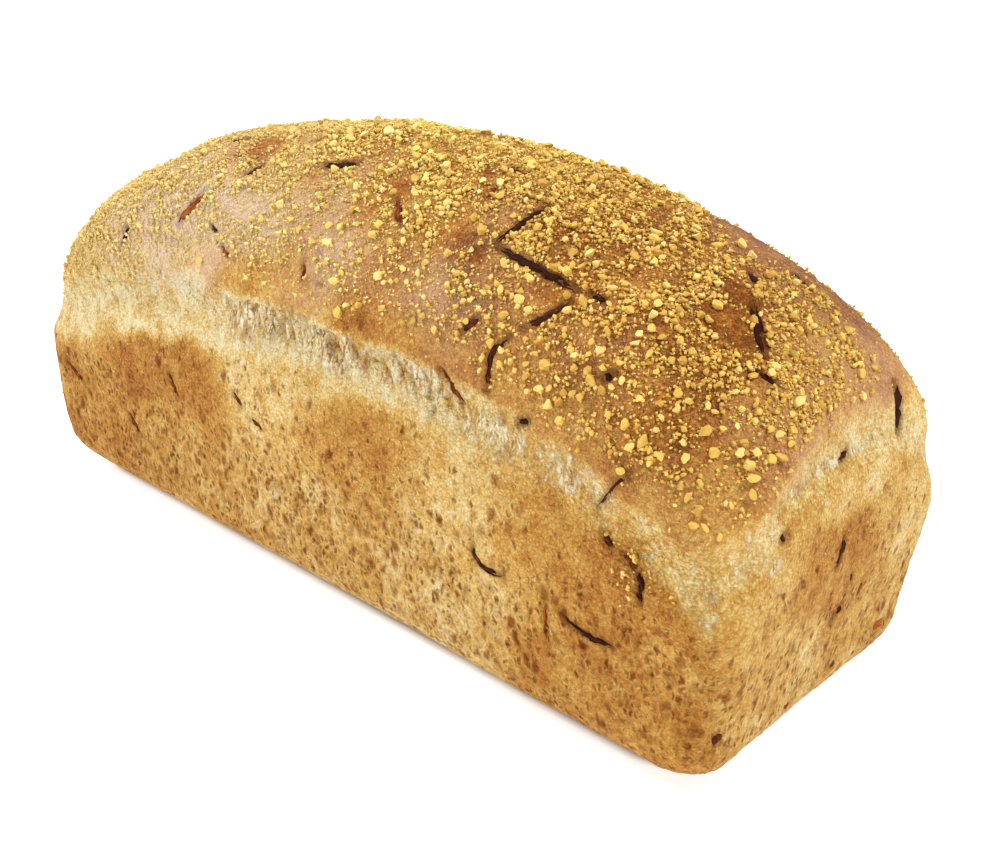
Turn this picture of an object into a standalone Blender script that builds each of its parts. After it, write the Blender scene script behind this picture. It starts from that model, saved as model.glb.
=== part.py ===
"""Carrot bread: an uncut loaf baked in a tin, its crown dusted with maize grit.

The loaf stands on its flat base at z = 0, centred on the origin. Its long sides face -Y and +Y and
its ends face -X and +X. Below the rim the tin shaped it: straight walls with draft, rounded upright
corners and a rounded edge round the base. Above the rim the dough rose freely into a domed crown,
and where it tore away from the walls a hollow band runs all round, high in the middle of each side
and low at the corners.

Shreds of carrot lie in the crust and the largest grains of grit lie on it. Both are fused to the
loaf, so the bread is one solid.
"""
import math
import random

import bmesh
import bpy
import numpy as np
from mathutils import Matrix, Vector

MM = 0.001

# The tin-shaped lower part.
LOAF_LENGTH = 280 * MM
LOAF_WIDTH = 112.5 * MM
RIM_HEIGHT = 50 * MM            # the widest level of the loaf
END_DRAFT = 0.075               # how far an end wall leans out for each unit of height
SIDE_DRAFT = 0.08               # the same on a long wall
BASE_EDGE_RADIUS = 14 * MM
CORNER_RADIUS = 11 * MM         # upright corners, seen from above

# The crown. Its plan shrinks from the rim to the crest as a superellipse along each axis, and its
# corners grow rounder on the way up.
LOAF_HEIGHT = 132.8 * MM        # to the crest, without what lies on it
LENGTH_POWERS = (3.15, 1.73)
WIDTH_POWERS = (2.4, 1.83)
CORNER_GROWTH = 1.14
ROUNDEST = 0.98                 # largest corner radius, as a share of the plan's half width

# The torn band between the walls and the crown.
BAND_HEIGHT = 80 * MM           # middle of the band, halfway along a side
BAND_DROP = 26 * MM             # how much lower it runs at the corners
BAND_BEND = 1.2                 # how late along a side it starts to drop
BAND_HALF_WIDTH = 6 * MM
BAND_DEPTH = 1.5 * MM
LIP_RISE = 10 * MM              # the crown's lip stands this far above the band's middle
LIP_PROUD = 0.7 * MM

# Unevenness of a hand-filled tin.
WAVE_HEIGHT = 0.25 * MM
WAVE_LENGTHS = (93 * MM, 61 * MM, 47 * MM)
FOOT_WAVE_HEIGHT = 0.4 * MM
FOOT_WAVE_LENGTH = 27 * MM
FOOT_REACH = 14 * MM            # height up to which the wall above the base is lumpy
# Broad swellings and hollows: place in millimetres, radius and height, below zero for a hollow.
SWELLS = (
    ((-134, -53, 32), 22, 1.5),     # left end, below the rim
    ((-132, -51, 66), 12, -1.0),    # left end, just above the rim
    ((-109, -32, 106), 20, -0.7),   # left shoulder of the crown
    ((-84, -14, 120), 14, 0.9),
    ((-45, 8, 130), 28, -0.4),
    ((20, -48, 5), 34, -1.6),       # foot of the front wall
    ((-95, -48, 5), 28, 0.7),
)

# Mesh of the bare loaf.
STEPS_ALONG = 28
STEPS_ACROSS = 12
ROW_HEIGHTS = (5, 12, 24, 36, 46, 54, 60, 66, 71, 76, 81, 86, 91, 97, 106, 118)     # millimetres
FLAT_BELOW = 0.01 * MM          # the base's own points are set level with the table

# Carrot shreds. Each is a chain of places in millimetres beside the crust, which it is laid on,
# with its width at the end.
SHRED_THICKNESS = 2.2 * MM
SHRED_PROUD = 0.55 * MM         # how far its back stands above the crust
SHRED_STEP = 5 * MM             # length of one straight piece of a shred
END_TAPER = 0.4                 # how much narrower a shred is at its ends
SHREDS = (
    # The forked shred on the crown's front slope.
    ((56, -23, 125), (53, -32, 120), (51, -36, 117), 2.2),
    ((53, -37, 115), (63, -36, 115), (79, -38, 113), 2.6),
    ((83, -38, 112), (90, -38, 111), 2.2),
    # The crown's right part.
    ((110, -10, 110), (120, -20, 103), 2.8),
    ((101, 2, 114), (105, -1, 112), 2.6),
    ((122, -25, 100), (126, -23, 98), 2.0),
    ((133, 24, 88), (138, 25, 77), 2.4),
    ((95, -48, 97), (98, -47, 98), 2.4),
    # The crown's left part.
    ((-22, -29, 123), (-12, -25, 125), 2.2),
    ((-67, -46, 102), (-61, -41, 110), 2.4),
    ((-50, -47, 99), (-38, -50, 92), 2.4),
    ((10, -32, 120), (18, -37, 115), 2.0),
    ((-70, -25, 122), (-64, -27, 121), 2.2),
    ((-52, -35, 117), (-46, -33, 119), 2.2),
    # The crest.
    ((52, -5, 128), (58, -4, 128), 2.2),
    ((54, 15, 127), (61, 15, 126), 2.2),
    ((36, -14, 130), (42, -13, 130), 2.2),
    ((104, 17, 111), (109, 18, 109), 2.2),
    # The front flank, above the band.
    ((67, -47, 98), (63, -49, 94), (65, -52, 85), 2.2),
    ((70, -46, 101), (79, -41, 109), 2.6),
    ((52, -48, 96), (56, -47, 100), 2.6),
    ((49, -52, 86), (57, -54, 80), 1.8),
    ((75, -54, 80), (80, -53, 83), 2.2),
    ((102, -55, 69), (110, -54, 80), 1.6),
    ((105, -56, 66), (114, -56, 59), (117, -56, 51), 1.8),
    # The front wall.
    ((69, -56, 48), (65, -56, 43), (68, -56, 39), (82, -56, 41), 2.0),
    ((96, -56, 37), (101, -56, 35), (111, -56, 35), 2.0),
    ((90, -56, 38), (91, -55, 26), 1.6),
    ((-32, -56, 57), (-23, -56, 51), (-15, -56, 50), 1.8),
    ((-64, -56, 54), (-60, -56, 47), 2.0),
    ((-90, -56, 32), (-84, -56, 26), 2.0),
    ((-126, -56, 41), (-117, -56, 36), 2.0),
    # The right end.
    ((140, -4, 56), (140, -6, 49), 2.2),
    ((140, 4, 35), (140, -2, 31), 2.4),
    ((138, -4, 78), (138, -12, 78), 1.8),
    ((140, -33, 69), (140, -35, 66), 2.0),
    ((138, 31, 16), (138, 37, 15), 3.2),
)
# Further shreds, spread by a rule over the back and the left end.
RULE_SHREDS = 16
RULE_SHRED_LENGTHS = (8 * MM, 16 * MM)
RULE_SHRED_WIDTH = 2.2
RULE_CLEARANCE = 12 * MM        # between the middles of two shreds
SHARE_ON_BACK = 0.75
BACK_REACH = 125 * MM           # how far from the middle they lie along the back
END_REACH = 45 * MM             # the same across the end
BACK_HEIGHTS = (22 * MM, 128 * MM)
END_HEIGHTS = (22 * MM, 100 * MM)

# Maize grit on the crown, its largest grains only.
GRAINS = 150
GRAIN_SIZES = (2.8 * MM, 4.0 * MM)
GRAIN_FLATNESS = 0.72
GRAIN_KNOBS = (0.85, 1.15)      # how uneven it is
GRAIN_LIFT = 0.18               # share of its size by which its middle lies above the crust
GRAIN_SPACING = 5.5 * MM
GRAIN_TO_SHRED = 5 * MM
GRIT_LINE = 14 * MM             # grit starts this far above the band's middle
BARE_END = 128 * MM             # past this the right end of the crown is bare
# Bare patches of the crown: place in millimetres along and across, and radius.
BARE_PATCHES = ((-20, -47, 24), (88, -44, 12), (20, -46, 16), (-95, 20, 14), (30, 44, 18))
SEED = 7

CRUST_COLOUR = (0.46, 0.24, 0.07, 1.0)
CRUST_ROUGHNESS = 0.6
SHARP_EDGE = math.radians(35)

RAY_HALVINGS = 40               # enough to place a point on the skin to well under a micrometre
SLOPE_STEP = 0.5 * MM


def clear_scene():
    for item in list(bpy.data.objects):
        bpy.data.objects.remove(item)


def make_collection(name):
    collection = bpy.data.collections.new(name)
    bpy.context.scene.collection.children.link(collection)
    return collection


def make_crust_material():
    material = bpy.data.materials.new("baked_crust")
    material.use_nodes = True
    shader = material.node_tree.nodes["Principled BSDF"]
    shader.inputs["Base Color"].default_value = CRUST_COLOUR
    shader.inputs["Roughness"].default_value = CRUST_ROUGHNESS
    shader.inputs["Metallic"].default_value = 0.0
    material.diffuse_color = CRUST_COLOUR
    return material


# ---- the form of the loaf ------------------------------------------------------------------------

def plan_at(height):
    """Half length, half width and corner radius of the loaf's plan at each height."""
    below = np.clip(RIM_HEIGHT - height, 0, None)
    into_edge = np.clip(BASE_EDGE_RADIUS - height, 0, BASE_EDGE_RADIUS)
    edge_inset = BASE_EDGE_RADIUS - np.sqrt(BASE_EDGE_RADIUS ** 2 - into_edge ** 2)
    rise = np.clip((height - RIM_HEIGHT) / (LOAF_HEIGHT - RIM_HEIGHT), 0, 1)

    def half_size(size, draft, powers):
        wall = size / 2 - draft * below - edge_inset
        crown = size / 2 * (1 - rise ** powers[0]) ** (1 / powers[1])
        return np.where(height < RIM_HEIGHT, wall, crown)

    half_length = half_size(LOAF_LENGTH, END_DRAFT, LENGTH_POWERS)
    half_width = half_size(LOAF_WIDTH, SIDE_DRAFT, WIDTH_POWERS)
    roundest = ROUNDEST * np.minimum(half_length, half_width)
    radius = CORNER_RADIUS + (roundest - CORNER_RADIUS) * rise ** CORNER_GROWTH
    return half_length, half_width, np.minimum(radius, roundest)


def outside(points):
    """Distance of each point from the loaf's plan at its height: negative inside the loaf."""
    half_length, half_width, radius = plan_at(points[:, 2])
    along = np.abs(points[:, 0]) - (half_length - radius)
    across = np.abs(points[:, 1]) - (half_width - radius)
    corner = np.hypot(np.maximum(along, 0), np.maximum(across, 0))
    plan = corner + np.minimum(np.maximum(along, across), 0) - radius
    return np.maximum(np.maximum(plan, -points[:, 2]), points[:, 2] - LOAF_HEIGHT)


def core_of(points):
    """The nearest place on the level line inside the loaf that its skin is seen from."""
    reach = LOAF_LENGTH / 2 - LOAF_WIDTH / 2
    core = np.zeros_like(points)
    core[:, 0] = np.clip(points[:, 0], -reach, reach)
    core[:, 2] = RIM_HEIGHT
    return core


def smooth_skin(points):
    """Moves each point along its ray from the core until it lies on the smooth form."""
    core = core_of(points)
    rays = points - core
    near = np.zeros(len(points))
    far = np.full(len(points), 2.0)
    for _ in range(RAY_HALVINGS):
        middle = (near + far) / 2
        inside = outside(core + rays * middle[:, None]) < 0
        near = np.where(inside, middle, near)
        far = np.where(inside, far, middle)
    return core + rays * near[:, None]


def skin_normals(points):
    """Outward direction of the smooth form at points that lie on it."""
    slopes = []
    for axis in range(3):
        shift = np.zeros(3)
        shift[axis] = SLOPE_STEP
        slopes.append(outside(points + shift) - outside(points - shift))
    normals = np.stack(slopes, axis=1)
    return normals / np.maximum(np.linalg.norm(normals, axis=1, keepdims=True), 1e-9)


def band_middle(points):
    """Height of the torn band's middle: it drops towards the four corners."""
    corner = (points[:, 0] / (LOAF_LENGTH / 2)) ** 2 * (points[:, 1] / (LOAF_WIDTH / 2)) ** 2
    return BAND_HEIGHT - BAND_DROP * np.clip(corner, 0, 1) ** BAND_BEND


def bell(distance, half_width):
    return np.exp(-(distance / half_width) ** 2)


def relief(points):
    """How far the real skin stands out from the smooth form."""
    x, y, z = points.T
    above_band = z - band_middle(points)
    band = -BAND_DEPTH * bell(above_band, BAND_HALF_WIDTH)
    lip = LIP_PROUD * bell(above_band - LIP_RISE, BAND_HALF_WIDTH)
    first, second, third = (2 * math.pi / length for length in WAVE_LENGTHS)
    waves = np.sin(first * x + 1.0) * np.cos(second * y) + np.sin(second * x + third * z)
    foot = np.clip(1 - z / FOOT_REACH, 0, 1) * np.sin(2 * math.pi * (x + y) / FOOT_WAVE_LENGTH)
    standing = np.clip(z / FOOT_REACH, 0, 1)
    swells = sum(height * MM * bell(np.linalg.norm(points - np.array(place) * MM, axis=1), radius * MM)
                 for place, radius, height in SWELLS)
    return band + lip + (swells + WAVE_HEIGHT * waves + FOOT_WAVE_HEIGHT * foot) * standing


def on_crust(points):
    """The place on the uneven skin that each point is nearest to along its ray."""
    skin = smooth_skin(points)
    return skin + skin_normals(skin) * relief(skin)[:, None]


def crust_place(place):
    """One place on the crust and its outward normal, from a place in millimetres beside it."""
    point = np.array([place], dtype=float) * MM
    spot = on_crust(point)
    return Vector(spot[0]), Vector(skin_normals(smooth_skin(point))[0])


# ---- the bare loaf -------------------------------------------------------------------------------

def cut_along(mesh, axis, steps):
    """Cuts every edge that runs along an axis into equal steps."""
    edges = []
    for edge in mesh.edges:
        run = edge.verts[1].co - edge.verts[0].co
        if abs(run[axis]) > MM:
            edges.append(edge)
    bmesh.ops.subdivide_edges(mesh, edges=edges, cuts=steps - 1, use_grid_fill=True)


def make_loaf(collection, material):
    mesh = bmesh.new()
    size = Matrix.Diagonal((LOAF_LENGTH, LOAF_WIDTH, LOAF_HEIGHT, 1))
    bmesh.ops.create_cube(mesh, size=1, matrix=Matrix.Translation((0, 0, LOAF_HEIGHT / 2)) @ size)
    cut_along(mesh, 0, STEPS_ALONG)
    cut_along(mesh, 1, STEPS_ACROSS)
    for height in ROW_HEIGHTS:
        bmesh.ops.bisect_plane(mesh, geom=[*mesh.verts, *mesh.edges, *mesh.faces],
                               plane_co=(0, 0, height * MM), plane_no=(0, 0, 1))

    points = np.array([vert.co for vert in mesh.verts])
    for vert, place in zip(mesh.verts, on_crust(points)):
        vert.co = place
        if vert.co.z < FLAT_BELOW:
            vert.co.z = 0

    base = [face for face in mesh.faces if all(vert.co.z == 0 for vert in face.verts)]
    bmesh.ops.dissolve_faces(mesh, faces=base, use_verts=False)
    data = bpy.data.meshes.new("loaf")
    mesh.to_mesh(data)
    mesh.free()
    loaf = bpy.data.objects.new("loaf", data)
    data.materials.append(material)
    collection.objects.link(loaf)
    return loaf


# ---- what lies in and on the crust ---------------------------------------------------------------

def add_topping(mesh, name, collection, material):
    data = bpy.data.meshes.new(name)
    mesh.to_mesh(data)
    mesh.free()
    data.materials.append(material)
    topping = bpy.data.objects.new(name, data)
    topping.hide_render = True
    topping.display_type = "WIRE"
    collection.objects.link(topping)


def along_chain(chain, share):
    """The place at a share of a chain's length."""
    corners = [Vector(place) for place in chain]
    lengths = [(end - start).length for start, end in zip(corners, corners[1:])]
    left = share * sum(lengths)
    for start, end, length in zip(corners, corners[1:], lengths):
        if left <= length:
            return start.lerp(end, left / length)
        left -= length
    return corners[-1]


def lay_shred(chain, width, collection, material):
    """A flat strip, laid along a chain of places and bent to the crust."""
    length = sum((Vector(end) - Vector(start)).length for start, end in zip(chain, chain[1:])) * MM
    steps = max(2, round(length / SHRED_STEP))
    stations = [crust_place(along_chain(chain, step / steps)) for step in range(steps + 1)]
    mesh = bmesh.new()
    bmesh.ops.create_cube(mesh, size=1)
    cut_along(mesh, 0, steps)
    for vert in mesh.verts:
        station = round((vert.co.x + 0.5) * steps)
        spot, normal = stations[station]
        before, after = stations[max(station - 1, 0)][0], stations[min(station + 1, steps)][0]
        across = normal.cross(after - before).normalized()
        narrowed = 1 - END_TAPER if station in (0, steps) else 1
        depth = SHRED_PROUD if vert.co.z > 0 else SHRED_PROUD - SHRED_THICKNESS
        vert.co = spot + across * vert.co.y * width * MM * narrowed + normal * depth
    add_topping(mesh, "shred", collection, material)
    return crust_place(along_chain(chain, 0.5))[0]


def lay_shreds(dice, collection, material):
    """The shreds that show, and those of the back and the left end, which a rule spreads."""
    middles = [lay_shred(entry[:-1], entry[-1], collection, material) for entry in SHREDS]
    wanted = len(middles) + RULE_SHREDS
    while len(middles) < wanted:
        if dice.random() < SHARE_ON_BACK:
            along, height = dice.uniform(-BACK_REACH, BACK_REACH), dice.uniform(*BACK_HEIGHTS)
            place = Vector((along, LOAF_WIDTH / 2, height))
        else:
            across, height = dice.uniform(-END_REACH, END_REACH), dice.uniform(*END_HEIGHTS)
            place = Vector((-LOAF_LENGTH / 2, across, height))
        middle, normal = crust_place(place / MM)
        if min((middle - other).length for other in middles) < RULE_CLEARANCE:
            continue
        heading = normal.orthogonal().normalized()
        heading.rotate(Matrix.Rotation(dice.uniform(0, math.pi), 3, normal))
        reach = heading * dice.uniform(*RULE_SHRED_LENGTHS) / 2
        chain = [tuple((middle + shift) / MM) for shift in (-reach, reach)]
        middles.append(lay_shred(chain, RULE_SHRED_WIDTH, collection, material))
    return middles


def takes_grit(place):
    """Whether the crust at a place is dusted: the crown, but for its bare patches."""
    point = np.array([place])
    if place.z < band_middle(point)[0] + GRIT_LINE or place.x > BARE_END:
        return False
    return all(math.hypot(place.x - x * MM, place.y - y * MM) > radius * MM
               for x, y, radius in BARE_PATCHES)


def lay_grain(spot, normal, size, dice, collection, material):
    """One knobbly grain, flattened against the crust and sunk into it."""
    mesh = bmesh.new()
    bmesh.ops.create_icosphere(mesh, subdivisions=1, radius=size / 2)
    spin = Matrix.Rotation(dice.uniform(0, 2 * math.pi), 3, "Z")
    turn = normal.to_track_quat("Z", "Y").to_matrix() @ spin
    for vert in mesh.verts:
        knob = vert.co * dice.uniform(*GRAIN_KNOBS)
        knob.z *= GRAIN_FLATNESS
        vert.co = spot + turn @ knob + normal * size * GRAIN_LIFT
    add_topping(mesh, "grain", collection, material)


def lay_grit(loaf, shreds, dice, collection, material):
    """Grains spread over the crust evenly by area, kept apart and clear of the shreds."""
    faces = [face for face in loaf.data.polygons if takes_grit(face.center)]
    areas = [face.area for face in faces]
    grains = []
    while len(grains) < GRAINS:
        face = dice.choices(faces, weights=areas)[0]
        corners = [loaf.data.vertices[index].co for index in face.vertices]
        shares = [dice.random() for _ in corners]
        spot = sum((co * share for co, share in zip(corners, shares)), Vector()) / sum(shares)
        if any((spot - other).length < GRAIN_SPACING for other in grains):
            continue
        if any((spot - middle).length < GRAIN_TO_SHRED for middle in shreds):
            continue
        size = GRAIN_SIZES[1] - (GRAIN_SIZES[1] - GRAIN_SIZES[0]) * len(grains) / GRAINS
        lay_grain(spot, face.normal.copy(), size, dice, collection, material)
        grains.append(spot)


# ---- joining -------------------------------------------------------------------------------------

def fuse(loaf, toppings):
    """One union joins all toppings to the loaf, and their own objects go."""
    union = loaf.modifiers.new("toppings", "BOOLEAN")
    union.operation = "UNION"
    union.operand_type = "COLLECTION"
    union.collection = toppings
    union.solver = "EXACT"
    with bpy.context.temp_override(object=loaf, active_object=loaf, selected_objects=[loaf]):
        bpy.ops.object.modifier_apply(modifier=union.name)
    for topping in list(toppings.objects):
        bpy.data.objects.remove(topping)
    bpy.data.collections.remove(toppings)


def centre_over_origin(loaf):
    places = np.array([vert.co for vert in loaf.data.vertices])
    middle = (places.min(axis=0) + places.max(axis=0)) / 2
    loaf.data.transform(Matrix.Translation((-middle[0], -middle[1], 0)))


def main():
    clear_scene()
    bread = make_collection("carrot_bread")
    toppings = make_collection("toppings")
    crust = make_crust_material()
    dice = random.Random(SEED)
    loaf = make_loaf(bread, crust)
    shreds = lay_shreds(dice, toppings, crust)
    lay_grit(loaf, shreds, dice, toppings, crust)
    fuse(loaf, toppings)
    centre_over_origin(loaf)
    loaf.data.shade_smooth()
    loaf.data.set_sharp_from_angle(angle=SHARP_EDGE)


main()
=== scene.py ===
"""Carrot bread: the uncut tin loaf in a plain pale studio, dressed over its CAD solid.

Two closed pieces of crust meet under the lip where the crown tore away from the tin: crown_crust
above and wall_crust below. Shreds of carrot lie in them, and maize grit in five sizes lies on them.
All lengths written with MM are millimetres on the real loaf.
"""
import math
import random
from functools import partial

import bmesh
import bpy
import numpy as np
from mathutils import Matrix, Vector, kdtree, noise

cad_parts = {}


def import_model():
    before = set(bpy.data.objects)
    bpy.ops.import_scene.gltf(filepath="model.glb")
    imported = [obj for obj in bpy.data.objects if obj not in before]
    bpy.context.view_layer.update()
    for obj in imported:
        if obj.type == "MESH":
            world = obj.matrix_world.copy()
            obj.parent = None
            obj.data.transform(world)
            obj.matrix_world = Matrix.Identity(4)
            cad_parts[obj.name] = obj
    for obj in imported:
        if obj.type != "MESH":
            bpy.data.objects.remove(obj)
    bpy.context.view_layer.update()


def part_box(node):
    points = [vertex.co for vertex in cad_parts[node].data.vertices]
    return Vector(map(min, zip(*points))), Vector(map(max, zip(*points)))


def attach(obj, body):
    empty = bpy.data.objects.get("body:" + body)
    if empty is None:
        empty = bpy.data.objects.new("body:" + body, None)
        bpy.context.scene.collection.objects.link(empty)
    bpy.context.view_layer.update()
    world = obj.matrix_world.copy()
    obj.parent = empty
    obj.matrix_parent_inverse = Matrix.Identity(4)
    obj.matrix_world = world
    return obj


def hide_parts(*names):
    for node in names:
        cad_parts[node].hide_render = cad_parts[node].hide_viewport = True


MM = 0.001

# ---- the loaf's form, as its CAD source has it ---------------------------------------------------

LOAF_LENGTH = 280 * MM
LOAF_WIDTH = 112.5 * MM
RIM_HEIGHT = 50 * MM
END_DRAFT = 0.075
SIDE_DRAFT = 0.08
BASE_EDGE_RADIUS = 14 * MM
CORNER_RADIUS = 11 * MM
LOAF_HEIGHT = 132.8 * MM
LENGTH_POWERS = (3.15, 1.73)
WIDTH_POWERS = (2.4, 1.83)
CORNER_GROWTH = 1.14
ROUNDEST = 0.98
BAND_HEIGHT = 80 * MM
BAND_DROP = 26 * MM
BAND_BEND = 1.2
BAND_HALF_WIDTH = 6 * MM
BAND_DEPTH = 1.5 * MM
LIP_RISE = 10 * MM
LIP_PROUD = 0.7 * MM
WAVE_HEIGHT = 0.25 * MM
WAVE_LENGTHS = (93 * MM, 61 * MM, 47 * MM)
FOOT_WAVE_HEIGHT = 0.4 * MM
FOOT_WAVE_LENGTH = 27 * MM
FOOT_REACH = 14 * MM
SWELLS = (
    ((-134, -53, 32), 22, 1.5),
    ((-132, -51, 66), 12, -1.0),
    ((-109, -32, 106), 20, -0.7),
    ((-84, -14, 120), 14, 0.9),
    ((-45, 8, 130), 28, -0.4),
    ((20, -48, 5), 34, -1.6),
    ((-95, -48, 5), 28, 0.7),
)
RAY_HALVINGS = 34
SLOPE_STEP = 0.5 * MM

# Carrot shreds: chains of places in millimetres, with the width at the end, and how charred each is
# (0 roasted orange-brown, 1 burnt black).
SHREDS = (
    ((56, -23, 125), (53, -32, 120), (51, -36, 117), 2.3, 0.9),
    ((52, -36, 116), (59, -37, 114), (67, -38, 114), (79, -38.5, 112), 2.8, 1.0),
    ((83, -38, 112), (87, -38, 111), 2.8, 0.9),
    ((110, -10, 110), (120, -20, 103), 3.5, 1.0),
    ((101, 2, 114), (105, -1, 112), 2.6, 0.9),
    ((122, -25, 100), (126, -23, 98), 2.0, 0.8),
    ((133, 24, 88), (138, 25, 77), 4.0, 1.0),
    ((96, -48, 97), (98, -47, 98), 3.0, 1.0),
    ((-22, -29, 123), (-12, -25, 125), 3.2, 0.9),
    ((-68, -47, 99), (-66.5, -45.5, 103), (-64, -43, 106.5), (-62.5, -41, 109.5), 4.4, 0.15),
    ((-92, -51, 89), (-92, -49, 93), 2.0, 0.8),
    ((-53, -46, 102), (-50, -46.5, 100.5), 1.2, 0.6),
    ((-45.5, -48, 98), (-41, -49, 95), 1.3, 0.3),
    ((10, -32, 120), (18, -37, 115), 2.6, 0.4),
    ((-10, -47, 100), (-8, -49, 96), 1.8, 0.3),
    ((-70, -26, 122), (-66, -22, 124), 2.4, 0.9),
    ((-50, -36, 116), (-46, -32.5, 119.5), 1.8, 0.6),
    ((52, -5, 128), (58, -4, 128), 2.2, 0.5),
    ((54, 15, 127), (61, 15, 126), 2.2, 0.5),
    ((36, -14, 130), (42, -13, 130), 2.2, 0.5),
    ((104, 17, 111), (109, 18, 109), 2.2, 0.7),
    ((67, -47, 98), (63, -49, 94), (65, -52, 85), 2.2, 0.7),
    ((70, -46, 101), (79, -41, 109), 3.0, 0.7),
    ((52, -48, 96), (56, -47, 100), 2.6, 0.5),
    ((49, -52, 86), (57, -54, 80), 1.8, 0.3),
    ((76, -54, 81), (79, -53, 82), 2.6, 1.0),
    ((102, -55, 69), (110, -54, 80), 1.3, 0.6),
    ((105, -56, 63), (108, -56, 61), 2.2, 0.6),
    ((111, -56, 60), (115.5, -56, 58), 2.4, 0.4),
    ((115.5, -56, 58), (117, -56, 55), (117, -56, 50.5), 2.0, 1.0),
    ((66, -56, 45), (65, -56, 42), (69, -56, 39), (76, -56, 39.5), 2.0, 0.7),
    ((96, -56, 37), (101, -56, 35), (111, -56, 35), 1.6, 1.0),
    ((90, -56, 38), (91, -55, 26), 1.6, 0.15),
    ((-32, -56, 57), (-28, -56, 53.5), 1.5, 0.4),
    ((-24, -56, 51), (-18, -56, 49), 1.2, 0.3),
    ((-64, -56, 54), (-60, -56, 47), 2.0, 0.4),
    ((-90, -56, 32), (-84, -56, 26), 2.0, 0.3),
    ((-126, -56, 41), (-117, -56, 36), 2.0, 0.3),
    ((140, -4, 57), (140, -5, 53), (140, -6, 50), 2.8, 0.9),
    ((140, 3, 35), (140, 0, 31), 3.6, 0.8),
    ((137.5, -1.5, 79), (137.5, -6, 77), 1.9, 0.9),
    ((140, -33, 68), (140, -35, 67), 2.4, 0.7),
    ((138, 31, 16), (138, 37, 15), 3.2, 0.0),
    ((136, -48, 20), (136, -46, 18), 3.0, 0.5),
    ((137, 10, 14.5), (137, 7, 13.5), 2.4, 0.25),
    ((137, -13, 13), (137, -16, 12.5), 2.2, 0.2),
    ((138.9, 13, 38), (138.9, 13, 33), 1.6, 0.1),
    ((139.4, 5, 43), (139.4, 6, 41.5), 1.6, 0.5),
)
RULE_SHREDS = 16
RULE_SHRED_LENGTHS = (8 * MM, 16 * MM)
RULE_SHRED_WIDTH = 2.2
RULE_CLEARANCE = 12 * MM
SHARE_ON_BACK = 0.75
BACK_REACH = 125 * MM
END_REACH = 45 * MM
BACK_HEIGHTS = (22 * MM, 128 * MM)
END_HEIGHTS = (22 * MM, 100 * MM)
SEED = 7

# ---- what only the dressed loaf has ---------------------------------------------------------------

# The lip of the crown's crust, under which both crust pieces meet.
SEAM_RISE = 5.5 * MM            # above the band's middle
END_SEAM_DROP = 3.5 * MM        # lower than that on the ends
SEAM_JAGS = ((21 * MM, 1.3 * MM), (8 * MM, 1.3 * MM), (3 * MM, 0.8 * MM))
SEAM_END = (116 * MM, 134 * MM)  # along the loaf, from where the seam dips to fully dipped
TEAR_FRONT = (-52, -28, 44, 66)  # the open tear's start, full start, full end and end, along
TEAR_BACK = (-70, -40, 60, 95)
TEAR_SIDE = (44 * MM, 50 * MM)  # across the loaf, from where the tear opens to fully open
TEAR_SINK = 0.85 * MM
TEAR_LIFT = 0.8 * MM
TEAR_REACH = 3 * MM
TORN_MIDDLE = 4 * MM            # the torn band's middle, under the seam
# The baked skin's unevenness, in millimetres: how wide, how high on the crown, and on the walls.
LUMPS = (13, 0.5, 0.2)
WRINKLES = (4.2, 0.34, 0.16)
GOOSE_SKIN = (1.9, 0.2, 0.16)
FOLDS = (3.2, 0.4)              # where the crown is glossy
NUBS = (2.1, 0.7)               # under the grit
# Pores and cracks, in millimetres: how wide, how many times as tall, and how deep.
PITS = (2.7, 1.8, 0.5)
PRICKS = (1.6, 2.0, 0.2)
HOLES = (4.2, 1.6, 1.2)
GAPS = (5, 3, 0.8)
# Patches of bared crumb besides the long tear: place, reach along and upright, and how bare.
TORN_PATCHES = (
    ((9, -54, 78), 11, 3.6, 0.9),
    ((-25, -55, 75), 15, 4.0, 0.5),
    ((68, -54, 75), 12, 5.0, 1.0),
    ((92, -55, 73), 10, 5.5, 1.0),
    ((104, -55, 71), 5, 2.5, 0.5),
    ((118, -55, 63), 3, 8.0, 0.5),
    ((134, -54, 55), 2, 5.0, 0.9),
    ((137.5, -8, 78), 22, 1.8, 0.8),
    ((138, -30, 76), 9, 2.2, 0.6),
    ((137, -44, 70), 3, 3.0, 0.6),
    ((139, -38, 62), 3, 2.5, 0.9),
    ((-88, -54, 74), 14, 4.0, 0.35),
    ((-50, -53, 82), 12, 4.0, 0.45),
)
# Bare, browner patches of crown where the grit rubbed off: place, reach, and how bare.
BARE_PATCHES = (
    ((9, -29, 123), 4.5, 1.0),
    ((-8, -11, 132), 4.0, 0.7),
    ((38, -25, 126), 4.0, 0.9),
    ((32, -19, 129), 3.5, 0.8),
    ((39, -35, 117), 6.0, 0.8),
    ((47, -39, 113), 4.0, 0.8),
    ((75, -41, 110), 5.0, 0.9),
    ((110.5, -21, 108), 7.0, 1.0),
    ((107, -10, 111), 6.0, 1.0),
    ((114, -23, 106), 4.5, 1.0),
    ((-53, -26, 124), 8.0, 0.9),
    ((-24, -32, 120), 4.0, 0.7),
)
FIRST_ROW = 0.3 * MM            # how far above the meeting line the lip's edge stands

# Grids of the two crust pieces.
ALONG_CUTS = (20, 19)           # 380 faces along, 150 across
ACROSS_CUTS = (15, 10)
CROWN_ROW_CUTS = (19, 2)
WALL_ROW_CUTS = (13, 7)
CROWN_BOX_TOP = 118 * MM
WALL_BOX_FOOT = -24 * MM
FOOT_SHARE = 0.11               # share of the wall's rows that round the base edge
FOOT_TOP = 2 * MM
FLAT_BELOW = 0.02 * MM
CROWN_CAP = 77 * MM             # the crust pieces are closed inside the loaf at these heights
WALL_CAP = 67 * MM
CAP_SHRINK = 0.86

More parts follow.
